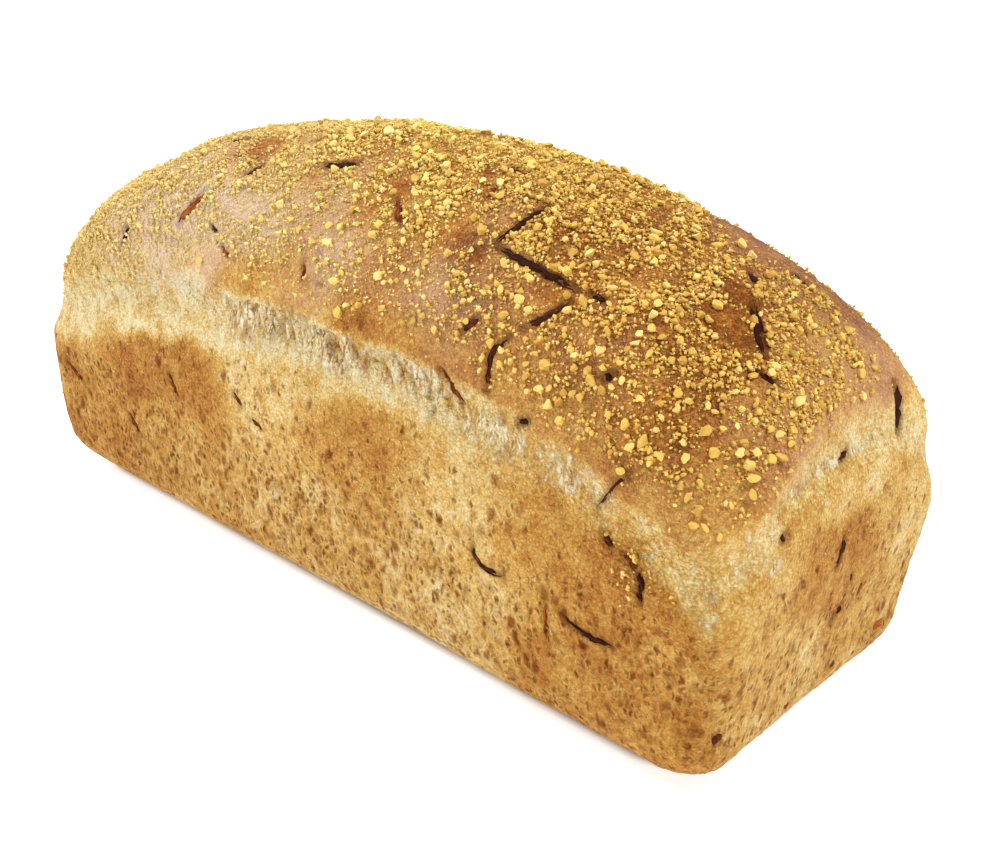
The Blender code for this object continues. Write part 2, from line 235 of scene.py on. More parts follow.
# How the crust is baked at places on the loaf, in millimetres: from pale crumb (0) to deep brown
# (1), how pinkish and pale with a painted sheen, and how glossy.
CRUST_SPOTS = (
    # crown
    ((-118, -30, 100), 0.42, 0.7, 0.7),
    ((-135, 0, 80), 0.46, 0.5, 0.5),
    ((-95, -48, 90), 0.32, 0.8, 0.7),
    ((-105, -51, 88), 0.34, 0.3, 0.5),
    ((-70, -47, 98), 0.28, 1.0, 1.0),
    ((-35, -43, 110), 0.40, 1.0, 0.9),
    ((-60, -43, 107), 0.34, 1.0, 1.0),
    ((-35, -34, 118), 0.56, 0.4, 0.8),
    ((-75, -30, 117), 0.50, 0.6, 0.8),
    ((-54, -27, 124), 0.74, 0.1, 0.7),
    ((4, -34, 119), 0.68, 0.0, 0.6),
    ((-12, -38, 115), 0.68, 0.5, 0.8),
    ((-1, -44, 104), 0.60, 0.6, 0.8),
    ((-10, -49, 97), 0.58, 0.1, 0.5),
    ((-30, -51, 88), 0.52, 0.0, 0.4),
    ((-60, -51, 90), 0.38, 0.4, 0.6),
    ((20, -45, 105), 0.72, 0.1, 0.5),
    ((36, -44, 105), 0.70, 0.36, 0.6),
    ((30, -38, 115), 0.70, 0.0, 0.5),
    ((-20, -15, 130), 0.80, 0.0, 0.5),
    ((10, -10, 132), 0.80, 0.0, 0.4),
    ((45, -40, 110), 0.85, 0.1, 0.5),
    ((30, -53, 87), 0.66, 0.0, 0.4),
    ((15, -52, 88), 0.78, 0.0, 0.4),
    ((70, -20, 122), 0.95, 0.0, 0.5),
    ((112, -26, 106), 0.89, 0.0, 0.5),
    ((95, -48, 97), 0.78, 0.05, 0.5),
    ((70, -53, 86), 0.66, 0.05, 0.4),
    ((88, -54, 82), 0.64, 0.05, 0.3),
    ((118, -45, 90), 0.93, 0.0, 0.4),
    ((116, -36, 98), 0.94, 0.0, 0.4),
    ((126, -35, 90), 0.70, 0.1, 0.3),
    ((122, -52, 78), 0.64, 0.05, 0.3),
    ((133, -20, 87), 0.70, 0.18, 0.3),
    ((110, 28, 106), 0.92, 0.1, 0.6),
    ((90, 35, 112), 0.92, 0.15, 0.6),
    ((132, 15, 90), 0.76, 0.26, 0.4),
    ((-50, 20, 125), 0.80, 0.0, 0.5),
    ((50, 30, 120), 0.86, 0.0, 0.5),
    ((0, 50, 98), 0.68, 0.1, 0.6),
    ((-100, 45, 88), 0.56, 0.25, 0.6),
    ((90, 50, 92), 0.72, 0.15, 0.5),
    # long walls
    ((-130, -50, 50), 0.62, 0.2, 0.1),
    ((-118, -54, 68), 0.42, 0.0, 0.2),
    ((-90, -56, 72), 0.36, 0.0, 0.2),
    ((-110, -56, 28), 0.66, 0.0, 0.0),
    ((-60, -56, 30), 0.53, 0.0, 0.0),
    ((0, -56, 30), 0.46, 0.0, 0.0),
    ((60, -56, 28), 0.40, 0.0, 0.0),
    ((100, -56, 20), 0.68, 0.0, 0.0),
    ((128, -54, 25), 0.70, 0.0, 0.0),
    ((124, -55, 48), 0.63, 0.0, 0.0),
    ((112, -56, 52), 0.74, 0.0, 0.0),
    ((-25, -55, 74), 0.26, 0.0, 0.1),
    ((9, -54, 77), 0.30, 0.0, 0.1),
    ((133, -50, 55), 0.46, 0.0, 0.0),
    ((-60, -56, 57), 0.76, 0.0, 0.1),
    ((-85, -56, 56), 0.79, 0.05, 0.1),
    ((20, -56, 60), 0.62, 0.0, 0.1),
    ((60, -56, 60), 0.34, 0.0, 0.1),
    ((90, -56, 56), 0.58, 0.0, 0.1),
    ((0, 56, 30), 0.55, 0.0, 0.0),
    ((-90, 56, 40), 0.57, 0.0, 0.0),
    ((90, 56, 35), 0.60, 0.0, 0.0),
    ((0, 56, 60), 0.64, 0.0, 0.1),
    # ends
    ((140, -42, 30), 0.40, 0.0, 0.0),
    ((140, -20, 30), 0.42, 0.0, 0.0),
    ((140, 0, 50), 0.68, 0.0, 0.0),
    ((140, -14, 56), 0.70, 0.0, 0.0),
    ((138, 30, 20), 0.52, 0.0, 0.0),
    ((139, 42, 50), 0.36, 0.0, 0.0),
    ((138, -10, 70), 0.30, 0.0, 0.1),
    ((138, 12, 76), 0.26, 0.0, 0.1),
    ((137, 34, 72), 0.38, 0.0, 0.1),
    ((140, -42, 58), 0.42, 0.0, 0.1),
    ((-140, 0, 30), 0.55, 0.0, 0.0),
    ((-140, 0, 60), 0.58, 0.1, 0.1),
    ((-138, 0, 84), 0.42, 0.2, 0.3),
)
SPOT_BLUR = 9 * MM

# How thickly the crust is dusted at places on the loaf: coarse, medium and fine grit, 1 at most.
GRIT_SPOTS = (
    ((-39, -23, 126), 0.25, 0.9, 1.0),
    ((9, -10, 133), 0.3, 1.0, 1.0),
    ((30, -13, 131), 0.4, 1.0, 1.0),
    ((50, -11, 129), 0.5, 0.9, 0.8),
    ((63, 6, 126), 0.2, 0.5, 0.6),
    ((80, 8, 122), 0.25, 0.45, 0.5),
    ((-20, 10, 133), 0.3, 1.0, 1.0),
    ((20, 22, 129), 0.3, 1.0, 1.0),
    ((-60, -26, 123), 0.06, 0.6, 0.8),
    ((-80, -30, 117), 0.06, 0.8, 1.0),
    ((-91, -41, 107), 0.05, 1.0, 1.0),
    ((-107, -51, 90), 0.03, 0.8, 1.0),
    ((-120, -20, 98), 0.05, 0.8, 1.0),
    ((-132, 10, 85), 0.03, 0.6, 0.8),
    ((-108, -55, 67), 0.0, 0.15, 0.6),
    ((-132, -35, 72), 0.0, 0.3, 0.5),
    ((10, -27, 124), 0.4, 0.7, 0.8),
    ((104, 5, 112), 0.3, 0.65, 0.4),
    ((112, 6, 108), 0.3, 0.55, 0.35),
    ((117, 12, 104), 0.25, 0.6, 0.4),
    ((124, 6, 99), 0.25, 0.6, 0.4),
    ((120, -4, 102), 0.2, 0.6, 0.4),
    ((85, 20, 118), 0.0, 0.02, 0.1),
    ((97, 18, 113), 0.0, 0.0, 0.08),
    ((108, 22, 108), 0.0, 0.0, 0.08),
    ((118, 26, 102), 0.0, 0.0, 0.08),
    ((126, 26, 95), 0.0, 0.0, 0.08),
    ((118, 36, 98), 0.0, 0.05, 0.15),
    ((100, 36, 108), 0.0, 0.05, 0.2),
    ((82, 42, 108), 0.0, 0.1, 0.3),
    ((136, 22, 82), 0.0, 0.0, 0.08),
    ((133, -8, 88), 0.1, 0.25, 0.4),
    ((137, 0, 80), 0.0, 0.0, 0.1),
    ((100, -41, 105), 0.8, 0.7, 0.35),
    ((106, -31, 107), 0.7, 0.9, 0.5),
    ((112, -33, 102), 0.5, 0.6, 0.3),
    ((117, -41, 96), 0.5, 0.38, 0.3),
    ((126, -20, 95), 0.6, 0.8, 0.4),
    ((130, -12, 92), 0.4, 0.8, 0.4),
    ((132, -38, 84), 0.25, 0.3, 0.3),
    ((116, -52, 84), 0.4, 0.45, 0.3),
    ((92, -51, 91), 0.45, 0.45, 0.35),
    ((86, -44, 104), 0.6, 0.6, 0.4),
    ((96, -20, 116), 0.7, 1.0, 0.5),
    ((75, -30, 117), 0.5, 0.8, 0.5),
    ((-71, -52, 85), 0.0, 0.25, 0.6),
    ((-50, -53, 80), 0.0, 0.0, 0.05),
    ((-32, -42, 112), 0.04, 0.5, 0.9),
    ((-70, -46, 100), 0.03, 0.5, 0.9),
    ((-60, -34, 118), 0.05, 0.8, 1.0),
    ((-7, -51, 90), 0.0, 0.08, 0.3),
    ((3, -47, 100), 0.1, 0.2, 0.5),
    ((4, -34, 118), 0.25, 0.35, 0.6),
    ((27, -52, 85), 0.05, 0.05, 0.15),
    ((45, -44, 104), 0.35, 0.45, 0.5),
    ((23, -49, 95), 0.2, 0.2, 0.35),
    ((50, -51, 90), 0.35, 0.4, 0.35),
    ((78, -50, 94), 0.3, 0.28, 0.35),
    ((100, -53, 84), 0.3, 0.25, 0.3),
    ((-60, 45, 108), 0.1, 0.5, 0.6),
    ((0, 48, 100), 0.1, 0.35, 0.5),
    ((60, 45, 105), 0.15, 0.45, 0.6),
    ((-110, 40, 90), 0.05, 0.3, 0.4),
    ((50, 22, 126), 0.3, 0.7, 0.7),
    ((-60, 20, 122), 0.2, 0.8, 0.9),
)
GRIT_EDGE = (3 * MM, 12 * MM)   # above the meeting line, from where dusting starts to full
DUST_OVER_BAND = 8 * MM         # how much lower it starts on the left
SPILL = (115, -56, 58)          # where a pinch of it stuck to the long wall
SPILL_REACH = 6 * MM
SPILL_SHARE = 0.18
STRAY_SHARE = 0.035             # grains that stray down the walls, thinning over this height
STRAY_REACH = (-38 * MM, -2 * MM)
GRIT_BLUR = 6 * MM

# Grit by size: which cover it follows (0 coarse, 1 medium, 2 fine), how many grains, the smallest and
# largest, how much likelier small ones are, and the share of its size by which a grain stands out.
GRITS = {
    "coarse_grit": (0, 950, (1.8 * MM, 3.1 * MM), 2.2, 0.22),
    "medium_grit": (1, 7500, (1.1 * MM, 2.0 * MM), 1.8, 0.26),
    "small_grit": (1, 20000, (0.75 * MM, 1.2 * MM), 1.0, 0.26),
    "fine_grit": (2, 16000, (0.45 * MM, 0.85 * MM), 1.2, 0.26),
    "maize_dust": (2, 8000, (0.3 * MM, 0.5 * MM), 1.0, 0.26),
}
COARSE_GAP = 2.4 * MM
COARSE_TRIES = 4                # places tried for each coarse grain that keeps its gap
GRIT_TO_SHRED = 0.4 * MM
GRIT_DEPTH = 4 * MM             # faces further inside the loaf than this take no grit

# ---- camera ---------------------------------------------------------------------------------------

CAMERA_AZIMUTH = math.radians(40.673)
CAMERA_HEIGHT_ANGLE = math.radians(22.489)
CAMERA_ROLL = math.radians(3.21)
CAMERA_DISTANCE = 351.394 * MM
CAMERA_TARGET = (39.987 * MM, -17.919 * MM, 60 * MM)
LENS = 45.06                    # on a sensor 36 mm wide


def make_camera():
    azimuth, height = CAMERA_AZIMUTH, CAMERA_HEIGHT_ANGLE
    back = Vector((math.sin(azimuth) * math.cos(height), -math.cos(azimuth) * math.cos(height),
                   math.sin(height)))
    level = Vector((math.cos(azimuth), math.sin(azimuth), 0))
    upright = back.cross(level)
    right = level * math.cos(CAMERA_ROLL) + upright * math.sin(CAMERA_ROLL)
    up = upright * math.cos(CAMERA_ROLL) - level * math.sin(CAMERA_ROLL)
    turn = Matrix((right, up, back)).transposed().to_4x4()
    data = bpy.data.cameras.new("studio_camera")
    data.lens = LENS
    data.sensor_width = 36
    data.clip_start = 0.01
    camera = bpy.data.objects.new("studio_camera", data)
    camera.matrix_world = Matrix.Translation(Vector(CAMERA_TARGET) + back * CAMERA_DISTANCE) @ turn
    bpy.context.scene.collection.objects.link(camera)
    bpy.context.scene.camera = camera


# ---- form -----------------------------------------------------------------------------------------

def plan_at(height):
    """Half length, half width and corner radius of the loaf's plan at each height."""
    below = np.clip(RIM_HEIGHT - height, 0, None)
    into_edge = np.clip(BASE_EDGE_RADIUS - height, 0, BASE_EDGE_RADIUS)
    edge_inset = BASE_EDGE_RADIUS - np.sqrt(BASE_EDGE_RADIUS ** 2 - into_edge ** 2)
    rise = np.clip((height - RIM_HEIGHT) / (LOAF_HEIGHT - RIM_HEIGHT), 0, 1)

    def half_size(size, draft, powers):
        wall = size / 2 - draft * below - edge_inset
        crown = size / 2 * (1 - rise ** powers[0]) ** (1 / powers[1])
        return np.where(height < RIM_HEIGHT, wall, crown)

    half_length = half_size(LOAF_LENGTH, END_DRAFT, LENGTH_POWERS)
    half_width = half_size(LOAF_WIDTH, SIDE_DRAFT, WIDTH_POWERS)
    roundest = ROUNDEST * np.minimum(half_length, half_width)
    radius = CORNER_RADIUS + (roundest - CORNER_RADIUS) * rise ** CORNER_GROWTH
    return half_length, half_width, np.minimum(radius, roundest)


def outside(points):
    """Distance of each point from the loaf's plan at its height: negative inside the loaf."""
    half_length, half_width, radius = plan_at(points[:, 2])
    along = np.abs(points[:, 0]) - (half_length - radius)
    across = np.abs(points[:, 1]) - (half_width - radius)
    corner = np.hypot(np.maximum(along, 0), np.maximum(across, 0))
    plan = corner + np.minimum(np.maximum(along, across), 0) - radius
    return np.maximum(np.maximum(plan, -points[:, 2]), points[:, 2] - LOAF_HEIGHT)


def smooth_skin(points):
    """Moves each point along its ray from the loaf's core until it lies on the smooth form."""
    reach = LOAF_LENGTH / 2 - LOAF_WIDTH / 2
    core = np.zeros_like(points)
    core[:, 0] = np.clip(points[:, 0], -reach, reach)
    core[:, 2] = RIM_HEIGHT
    rays = points - core
    near = np.zeros(len(points))
    far = np.full(len(points), 2.0)
    for _ in range(RAY_HALVINGS):
        middle = (near + far) / 2
        inside = outside(core + rays * middle[:, None]) < 0
        near = np.where(inside, middle, near)
        far = np.where(inside, far, middle)
    return core + rays * near[:, None]


def unit(vectors):
    """The same directions, each one long."""
    return vectors / np.maximum(np.linalg.norm(vectors, axis=1, keepdims=True), 1e-9)


def skin_normals(points):
    """Outward direction of the smooth form at points that lie on it."""
    slopes = []
    for axis in range(3):
        shift = np.zeros(3)
        shift[axis] = SLOPE_STEP
        slopes.append(outside(points + shift) - outside(points - shift))
    return unit(np.stack(slopes, axis=1))


def band_middle(points):
    """Height of the torn band's middle: it drops towards the four corners."""
    corner = (points[:, 0] / (LOAF_LENGTH / 2)) ** 2 * (points[:, 1] / (LOAF_WIDTH / 2)) ** 2
    return BAND_HEIGHT - BAND_DROP * np.clip(corner, 0, 1) ** BAND_BEND


def bell(distance, half_width):
    return np.exp(-(distance / half_width) ** 2)


def apart(points, place):
    """Distance of each point from a place that is written in millimetres."""
    return np.linalg.norm(points - np.array(place) * MM, axis=1)


def ramp(value, start, end):
    """Rises smoothly from 0 at start to 1 at end."""
    share = np.clip((value - start) / (end - start), 0, 1)
    return share * share * (3 - 2 * share)


def broad_relief(points):
    """How far the CAD loaf's skin stands out from the smooth form."""
    x, y, z = points.T
    above_band = z - band_middle(points)
    band = -BAND_DEPTH * bell(above_band, BAND_HALF_WIDTH)
    lip = LIP_PROUD * bell(above_band - LIP_RISE, BAND_HALF_WIDTH)
    first, second, third = (2 * math.pi / length for length in WAVE_LENGTHS)
    waves = np.sin(first * x + 1.0) * np.cos(second * y) + np.sin(second * x + third * z)
    foot = np.clip(1 - z / FOOT_REACH, 0, 1) * np.sin(2 * math.pi * (x + y) / FOOT_WAVE_LENGTH)
    standing = np.clip(z / FOOT_REACH, 0, 1)
    swells = sum(height * MM * bell(apart(points, place), radius * MM)
                 for place, radius, height in SWELLS)
    return band + lip + (swells + WAVE_HEIGHT * waves + FOOT_WAVE_HEIGHT * foot) * standing


def crust_place(place):
    """One place on the CAD loaf's crust and its outward normal, from a place beside it."""
    skin = smooth_skin(np.array([place], dtype=float) * MM)
    normal = skin_normals(skin)
    return Vector((skin + normal * broad_relief(skin)[:, None])[0]), Vector(normal[0])


# ---- unevenness -----------------------------------------------------------------------------------

def wobble(points, size, tall=1.0, shift=0.0):
    """Smooth noise between -1 and 1, in lumps this wide and this many times as tall as wide."""
    scaled = points / (size * np.array((1.0, 1.0, tall))) + shift
    return np.array([noise.noise(place) for place in scaled.tolist()])


def pores(points, size, tall, share, shift=0.0):
    """Depth, up to 1, of pores of this width: one to a cell, in this share of the cells."""
    scaled = points / (size * np.array((1.0, 1.0, tall))) + shift
    depth = np.zeros(len(points))
    for index, place in enumerate(scaled.tolist()):
        distances, centres = noise.voronoi(place)
        centre = centres[0]
        # A number from 0 to 1 that a cell keeps, from its centre.
        luck = math.sin(centre[0] * 12.9898 + centre[1] * 78.233 + centre[2] * 37.719) * 43758.5453
        luck -= math.floor(luck)
        if luck < share[index]:
            reach = 0.34 + 0.3 * luck / share[index]
            depth[index] = max(0.0, 1 - (distances[0] / reach) ** 2) * (0.6 + 0.4 * luck)
    return depth


def seam_height(points):
    """Height of the line where the crown's crust ends and the torn band starts."""
    flat = points * np.array((1.0, 1.0, 0.0))
    jags = sum(height * wobble(flat, size, shift=3.0) for size, height in SEAM_JAGS)
    at_end = ramp(np.abs(points[:, 0]), *SEAM_END)
    return band_middle(points) + SEAM_RISE - END_SEAM_DROP * at_end + jags


def tear(points):
    """How openly the crown tore away here: 1 along the middle of the long sides, 0 at the ends."""
    x, y, _ = points.T
    front, back = (ramp(x, opens * MM, opened * MM) * (1 - ramp(x, closes * MM, closed * MM))
                   for opens, opened, closes, closed in (TEAR_FRONT, TEAR_BACK))
    return np.where(y < 0, front, back) * ramp(np.abs(y), *TEAR_SIDE)


def torn_patches(points):
    """How bare the crumb is in the torn patches beside the long tear."""
    bare = np.zeros(len(points))
    for place, along, upright, strength in TORN_PATCHES:
        shift = points - np.array(place) * MM
        level = np.hypot(shift[:, 0], shift[:, 1])
        bare = np.maximum(bare, strength * bell(level, along * MM) * bell(shift[:, 2], upright * MM))
    return bare


def bare_patches(points):
    """How free of grit the crown is in its bare, browner patches."""
    bare = np.zeros(len(points))
    for place, radius, strength in BARE_PATCHES:
        bare = np.maximum(bare, strength * bell(apart(points, place), radius * MM))
    return np.clip(bare * (1.2 + 0.8 * wobble(points, 3 * MM, shift=36)), 0, 1)


# ---- carrot shreds --------------------------------------------------------------------------------

SHRED_RINGS = 18
SHRED_SIDES = 8
SHRED_SLIM = 0.72               # dried shreds have shrunk from the width they were cut to
SHRED_PROUD = 0.16 * MM
SHRED_THICKNESS = 0.8 * MM
SHRED_BED = 0.3 * MM
EASINGS = 6
# In millimetres: how long each bend in a shred's line and each change in its width is, and how great.
SWAY = (5, 0.45)
KINK = (1.9, 0.4)
RAGGED_WIDTHS = ((2.0, 0.8), (0.9, 0.5))
STRAND_SWAY = (3, 0.5)
SHRED_ROUGHNESS = 0.3 * MM
SHRED_DIP = 1.1 * MM            # how deep parts of it sink into the crust
SHRED_END_DIP = 0.35 * MM
# Strands of one shred: their place across it (-1 to 1), width, and where along it they start and end.
FIBRES = ((0.0, 1.0, 0.0, 1.0), (0.75, 0.28, 0.0, 0.6), (-0.8, 0.25, 0.35, 1.0))


def along_chain(chain, share):
    """The place at a share of a chain's length."""
    corners = [Vector(place) for place in chain]
    lengths = [(end - start).length for start, end in zip(corners, corners[1:])]
    left = share * sum(lengths)
    for start, end, length in zip(corners, corners[1:], lengths):
        if left <= length:
            return start.lerp(end, left / length)
        left -= length
    return corners[-1]


def spread_shreds():
    """The shreds that show, and those of the back and the left end, which the CAD's rule spreads."""
    dice = random.Random(SEED)
    chains = [(entry[:-2], entry[-2], entry[-1]) for entry in SHREDS]
    middles = [crust_place(along_chain(chain, 0.5))[0] for chain, _, _ in chains]
    wanted = len(chains) + RULE_SHREDS
    while len(chains) < wanted:
        if dice.random() < SHARE_ON_BACK:
            along, height = dice.uniform(-BACK_REACH, BACK_REACH), dice.uniform(*BACK_HEIGHTS)
            place = Vector((along, LOAF_WIDTH / 2, height))
        else:
            across, height = dice.uniform(-END_REACH, END_REACH), dice.uniform(*END_HEIGHTS)
            place = Vector((-LOAF_LENGTH / 2, across, height))
        middle, normal = crust_place(place / MM)
        if min((middle - other).length for other in middles) < RULE_CLEARANCE:
            continue
        heading = normal.orthogonal().normalized()
        heading.rotate(Matrix.Rotation(dice.uniform(0, math.pi), 3, normal))
        reach = heading * dice.uniform(*RULE_SHRED_LENGTHS) / 2
        chain = tuple(tuple((middle + shift) / MM) for shift in (-reach, reach))
        chains.append((chain, RULE_SHRED_WIDTH, 0.25 + 0.7 * (len(chains) % 3) / 2))
        middles.append(crust_place(along_chain(chain, 0.5))[0])
    return chains


def shred_courses(chains):
    """Each shred's course over the smooth form, its corners eased and its line a little wavy."""
    courses = []
    for number, (chain, _, _) in enumerate(chains):
        steps = [along_chain(chain, step / (SHRED_RINGS - 1)) for step in range(SHRED_RINGS)]
        course = np.array(steps) * MM
        for _ in range(EASINGS):
            course[1:-1] = (course[:-2] + 2 * course[1:-1] + course[2:]) / 4
        sway = wobble(course, SWAY[0] * MM, shift=number * 1.7)[:, None]
        drift = wobble(course, SWAY[0] * MM, shift=number * 1.7 + 40)[:, None]
        kink = wobble(course, KINK[0] * MM, shift=number * 2.3 + 80)[:, None]
        course += np.hstack([sway, -sway, drift]) * SWAY[1] * MM + kink * KINK[1] * MM
        courses.append(course)
    skin = smooth_skin(np.vstack(courses))
    return skin.reshape(len(chains), SHRED_RINGS, 3)


def shred_finder(chains, courses):
    """A finder of the nearest shred: its tree of places, with a width and a char for each."""
    places, facts = [], []
    for (_, width, char), course in zip(chains, courses):
        for start, end in zip(course, course[1:]):
            for share in (0.0, 0.25, 0.5, 0.75):
                places.append(start + (end - start) * share)
                facts.append((width * MM, char))
        places.append(course[-1])
        facts.append((width * MM, char))
    tree = kdtree.KDTree(len(places))
    for index, place in enumerate(places):
        tree.insert(place, index)
    tree.balance()
    return tree, facts


def beside_shreds(points, finder):
    """For each point: distance past the nearest shred's flank, and that shred's char."""
    tree, facts = finder
    past, char = np.empty(len(points)), np.empty(len(points))
    for index, point in enumerate(points.tolist()):
        _, nearest, distance = tree.find(point)
        width, burnt = facts[nearest]
        past[index] = distance - SHRED_SLIM * width / 2
        char[index] = burnt
    return past, char


# ---- the crust's relief and finish ----------------------------------------------------------------

def shade_of(points, spots, blur):
    """Blends the values written for spots on the loaf, each counting most near its own place."""
    total = np.zeros(len(points))
    blended = np.zeros((len(spots[0]) - 1, len(points)))
    for place, *values in spots:
        squared = np.sum((points - np.array(place) * MM) ** 2, axis=1)
        weight = 1 / (squared + blur ** 2) ** 3
        total += weight
        blended += np.outer(values, weight)
    return blended / total


def crust_finish(skin, above, beside):
    """Relief beyond the smooth form, and the finish values of the crust, at points of the form."""
    x, _, z = skin.T
    past, char = beside
    level = skin * (1, 1, 0)
    open_tear = np.clip(tear(skin) * (0.75 + 0.5 * wobble(level, 14 * MM, shift=9)), 0, 1)
    bake, blush_and_sheen, glaze = shade_of(skin, CRUST_SPOTS, SPOT_BLUR)
    _, medium, fine = grit_cover(skin, above)
    crown = ramp(above, 0, 5 * MM)
    wall = ramp(-above, 8 * MM, 20 * MM)
    lumps, wrinkles, goose = (wobble(skin, kind[0] * MM, shift=shift)
                              for kind, shift in ((LUMPS, 2), (WRINKLES, 4), (GOOSE_SKIN, 6)))

    # The torn crumb: bared under the lip, pulled into upright threads as the crown rose.
    reach = 7.5 * MM + 4 * MM * wobble(level, 8 * MM, shift=21) + 3 * MM * wobble(skin, 3 * MM, shift=22)
    crumb = open_tear * np.where(above > 0, 0, ramp(above, -reach - 1 * MM, -reach + 1.5 * MM))
    ragged = np.clip(0.8 + 1.1 * wobble(skin, 3 * MM, shift=24) + 0.5 * goose, 0, 1.2)
    crumb = np.maximum(crumb * np.clip(0.8 + 1.3 * wobble(skin, 4.5 * MM, 1.6, shift=25), 0.1, 1),
                       torn_patches(skin) * ragged)
    slanted = skin + np.outer(z, (0.7, 0, 0))
    in_band = bell(above + TORN_MIDDLE, 5 * MM)
    openness = np.clip(0.3 + 0.7 * open_tear, 0, 1)
    gaps = bell(wobble(slanted, GAPS[0] * MM, GAPS[1], shift=34), 0.1) * in_band * openness
    crumb *= 1 - 0.8 * gaps
    threads = 0.8 * wobble(skin, 1.8 * MM, 3, shift=5) + 0.7 * wobble(skin, 1.2 * MM, 1.6, shift=8)
    near_band = bell(above + TORN_MIDDLE, 9 * MM)

    # Pores where the crust baked against the tin, smeared upright as the dough rose.
    x_share = ramp(x, 10 * MM, 80 * MM)
    pore_share = 0.85 * ramp(54 * MM - z, 0, 20 * MM) * ramp(z, 1 * MM, 8 * MM) * (1 - 0.45 * x_share)
    pore_share = pore_share * (1 - 0.5 * ramp(np.abs(x), 134 * MM, 139 * MM))
    pore_share += 0.12 * wall
    pits = pores(skin, PITS[0] * MM, PITS[1], pore_share)
    pricks = pores(skin, PRICKS[0] * MM, PRICKS[1], np.clip(pore_share * 1.1, 0, 1), shift=17)
    holes = pores(skin, HOLES[0] * MM, HOLES[1], 0.16 * near_band * (0.4 + open_tear), shift=31)

    relief = broad_relief(skin)
    relief -= TEAR_SINK * open_tear * np.where(above > 0, 0, np.exp(np.minimum(above, 0) / TEAR_REACH))
    lift = np.exp(-np.maximum(above, 0) / TEAR_REACH)
    relief += TEAR_LIFT * open_tear * np.where(above > 0, lift, 0)
    standing = ramp(z, 0.5 * MM, 6 * MM)
    folds = wobble(skin, FOLDS[0] * MM, 2.4, shift=26) * glaze * crown
    nubs = np.clip(wobble(skin, NUBS[0] * MM, shift=27), 0, 1) * np.clip(medium + 0.5 * fine, 0, 1)
    on_crown, on_wall = (LUMPS[at] * lumps + WRINKLES[at] * wrinkles + GOOSE_SKIN[at] * goose
                         for at in (1, 2))
    relief += MM * standing * (crown * (on_crown + FOLDS[1] * folds + NUBS[1] * nubs)
                               + (1 - crown) * on_wall)
    bumps = wobble(skin, 2.6 * MM, shift=37)
    for height, form, in_crust in ((0.26, threads, 0.3), (0.32, bumps, 0.5)):
        relief += MM * height * form * np.maximum(crumb, in_crust * near_band * (1 - crown))
    relief -= MM * standing * (PITS[2] * pits + PRICKS[2] * pricks) * (1 - crumb)
    relief -= MM * (HOLES[2] * holes + GAPS[2] * gaps)
    relief += MM * 0.25 * bell(past - 0.9 * MM, 0.6 * MM)

    # Browning: the brown wall starts a little under the band, in a ragged line.
    on_end = ramp(np.abs(x), 122 * MM, 136 * MM)
    edge = (14 - 7 * on_end) * MM - 0.04 * x * (1 - on_end) + 3 * MM * wobble(level, 16 * MM, shift=13)
    fringe = (3 + 5 * (1 - ramp(x, -70 * MM, -20 * MM)) + 5 * on_end) * MM
    sandy = ramp(above + edge, -3 * MM, 4 * MM) * (1 - ramp(above, 0, fringe))
    patchy = np.clip(0.95 + 0.5 * wobble(skin, 7 * MM, shift=35), 0, 1)
    sandy *= (1 - 0.3 * ramp(x, 40 * MM, 80 * MM)) * patchy
    bared = bare_patches(skin) * crown
    bake = bake * (1 - 0.9 * sandy) + 0.07 * sandy + 0.08 * wrinkles * sandy
    bake = bake + (0.16 + 0.3 * (0.75 - bake)) * bared
    # The gaps in the torn band are browned darker as painted shade.
    bake = bake + 0.12 * lumps + 0.09 * wrinkles + 0.07 * goose + 0.25 * gaps
    finish = {
        "bake": np.clip(bake, 0, 1),
        # Pinkish bloom and a painted sheen: a pale pink-white mixed into the crust's colour, mostly on the
        # crown's left flanks.
        "blush_and_sheen": np.clip(blush_and_sheen * (1 + 0.4 * lumps) * (1 - bared), 0, 1) * ramp(above, -6 * MM, 4 * MM),
        "glaze": np.clip(glaze, 0, 1),
        "grainy": np.clip((1 - 0.45 * crown) * (1 - 0.8 * pore_share), 0, 1),
        "torn": in_band * openness,
        # Painted shade: the low furrows between the torn crumb's threads, darkened in colour.
        "painted_furrow_shade": np.clip(-1.6 * threads, 0, 1),
        "mottle": np.clip(0.5 + 0.5 * sandy + 0.5 * crown, 0, 1),
        "crumb": np.clip(crumb * (0.85 + 0.4 * threads), 0, 1),
        # Painted shade: the pits, pricks, holes and gaps darkened in colour.
        "painted_pore_shade": np.clip(0.7 * pits + 0.3 * pricks + holes + 0.8 * gaps, 0, 1),
        "scorch": np.clip((0.2 + 0.4 * char) * bell(np.maximum(past, 0), 0.35 * MM)
                          + 0.06 * char * bell(np.maximum(past, 0), 1.2 * MM), 0, 1),
        "porous": np.clip(pore_share + 0.2 * wall, 0, 1),
        "dusty": np.clip(fine + 0.3 * sandy, 0, 1),
    }
    return relief, finish


# ---- making the crust -----------------------------------------------------------------------------

def begin_edit(mode):
    bpy.ops.object.mode_set(mode="EDIT")
    bpy.ops.mesh.select_mode(type=mode)
    bpy.ops.mesh.select_all(action="DESELECT")


def end_edit():
    bpy.ops.object.mode_set(mode="OBJECT")


def cut_edges(piece, axis, stages):
    """Cuts all edges along an axis into equal parts, stage by stage."""
    for parts in stages:
        mesh = bmesh.from_edit_mesh(piece.data)
        for edge in mesh.edges:
            run = edge.verts[1].co - edge.verts[0].co
            edge.select_set(abs(run[axis]) > 0.5 * run.length)
        bmesh.update_edit_mesh(piece.data)
        bpy.ops.mesh.subdivide(number_cuts=parts - 1)


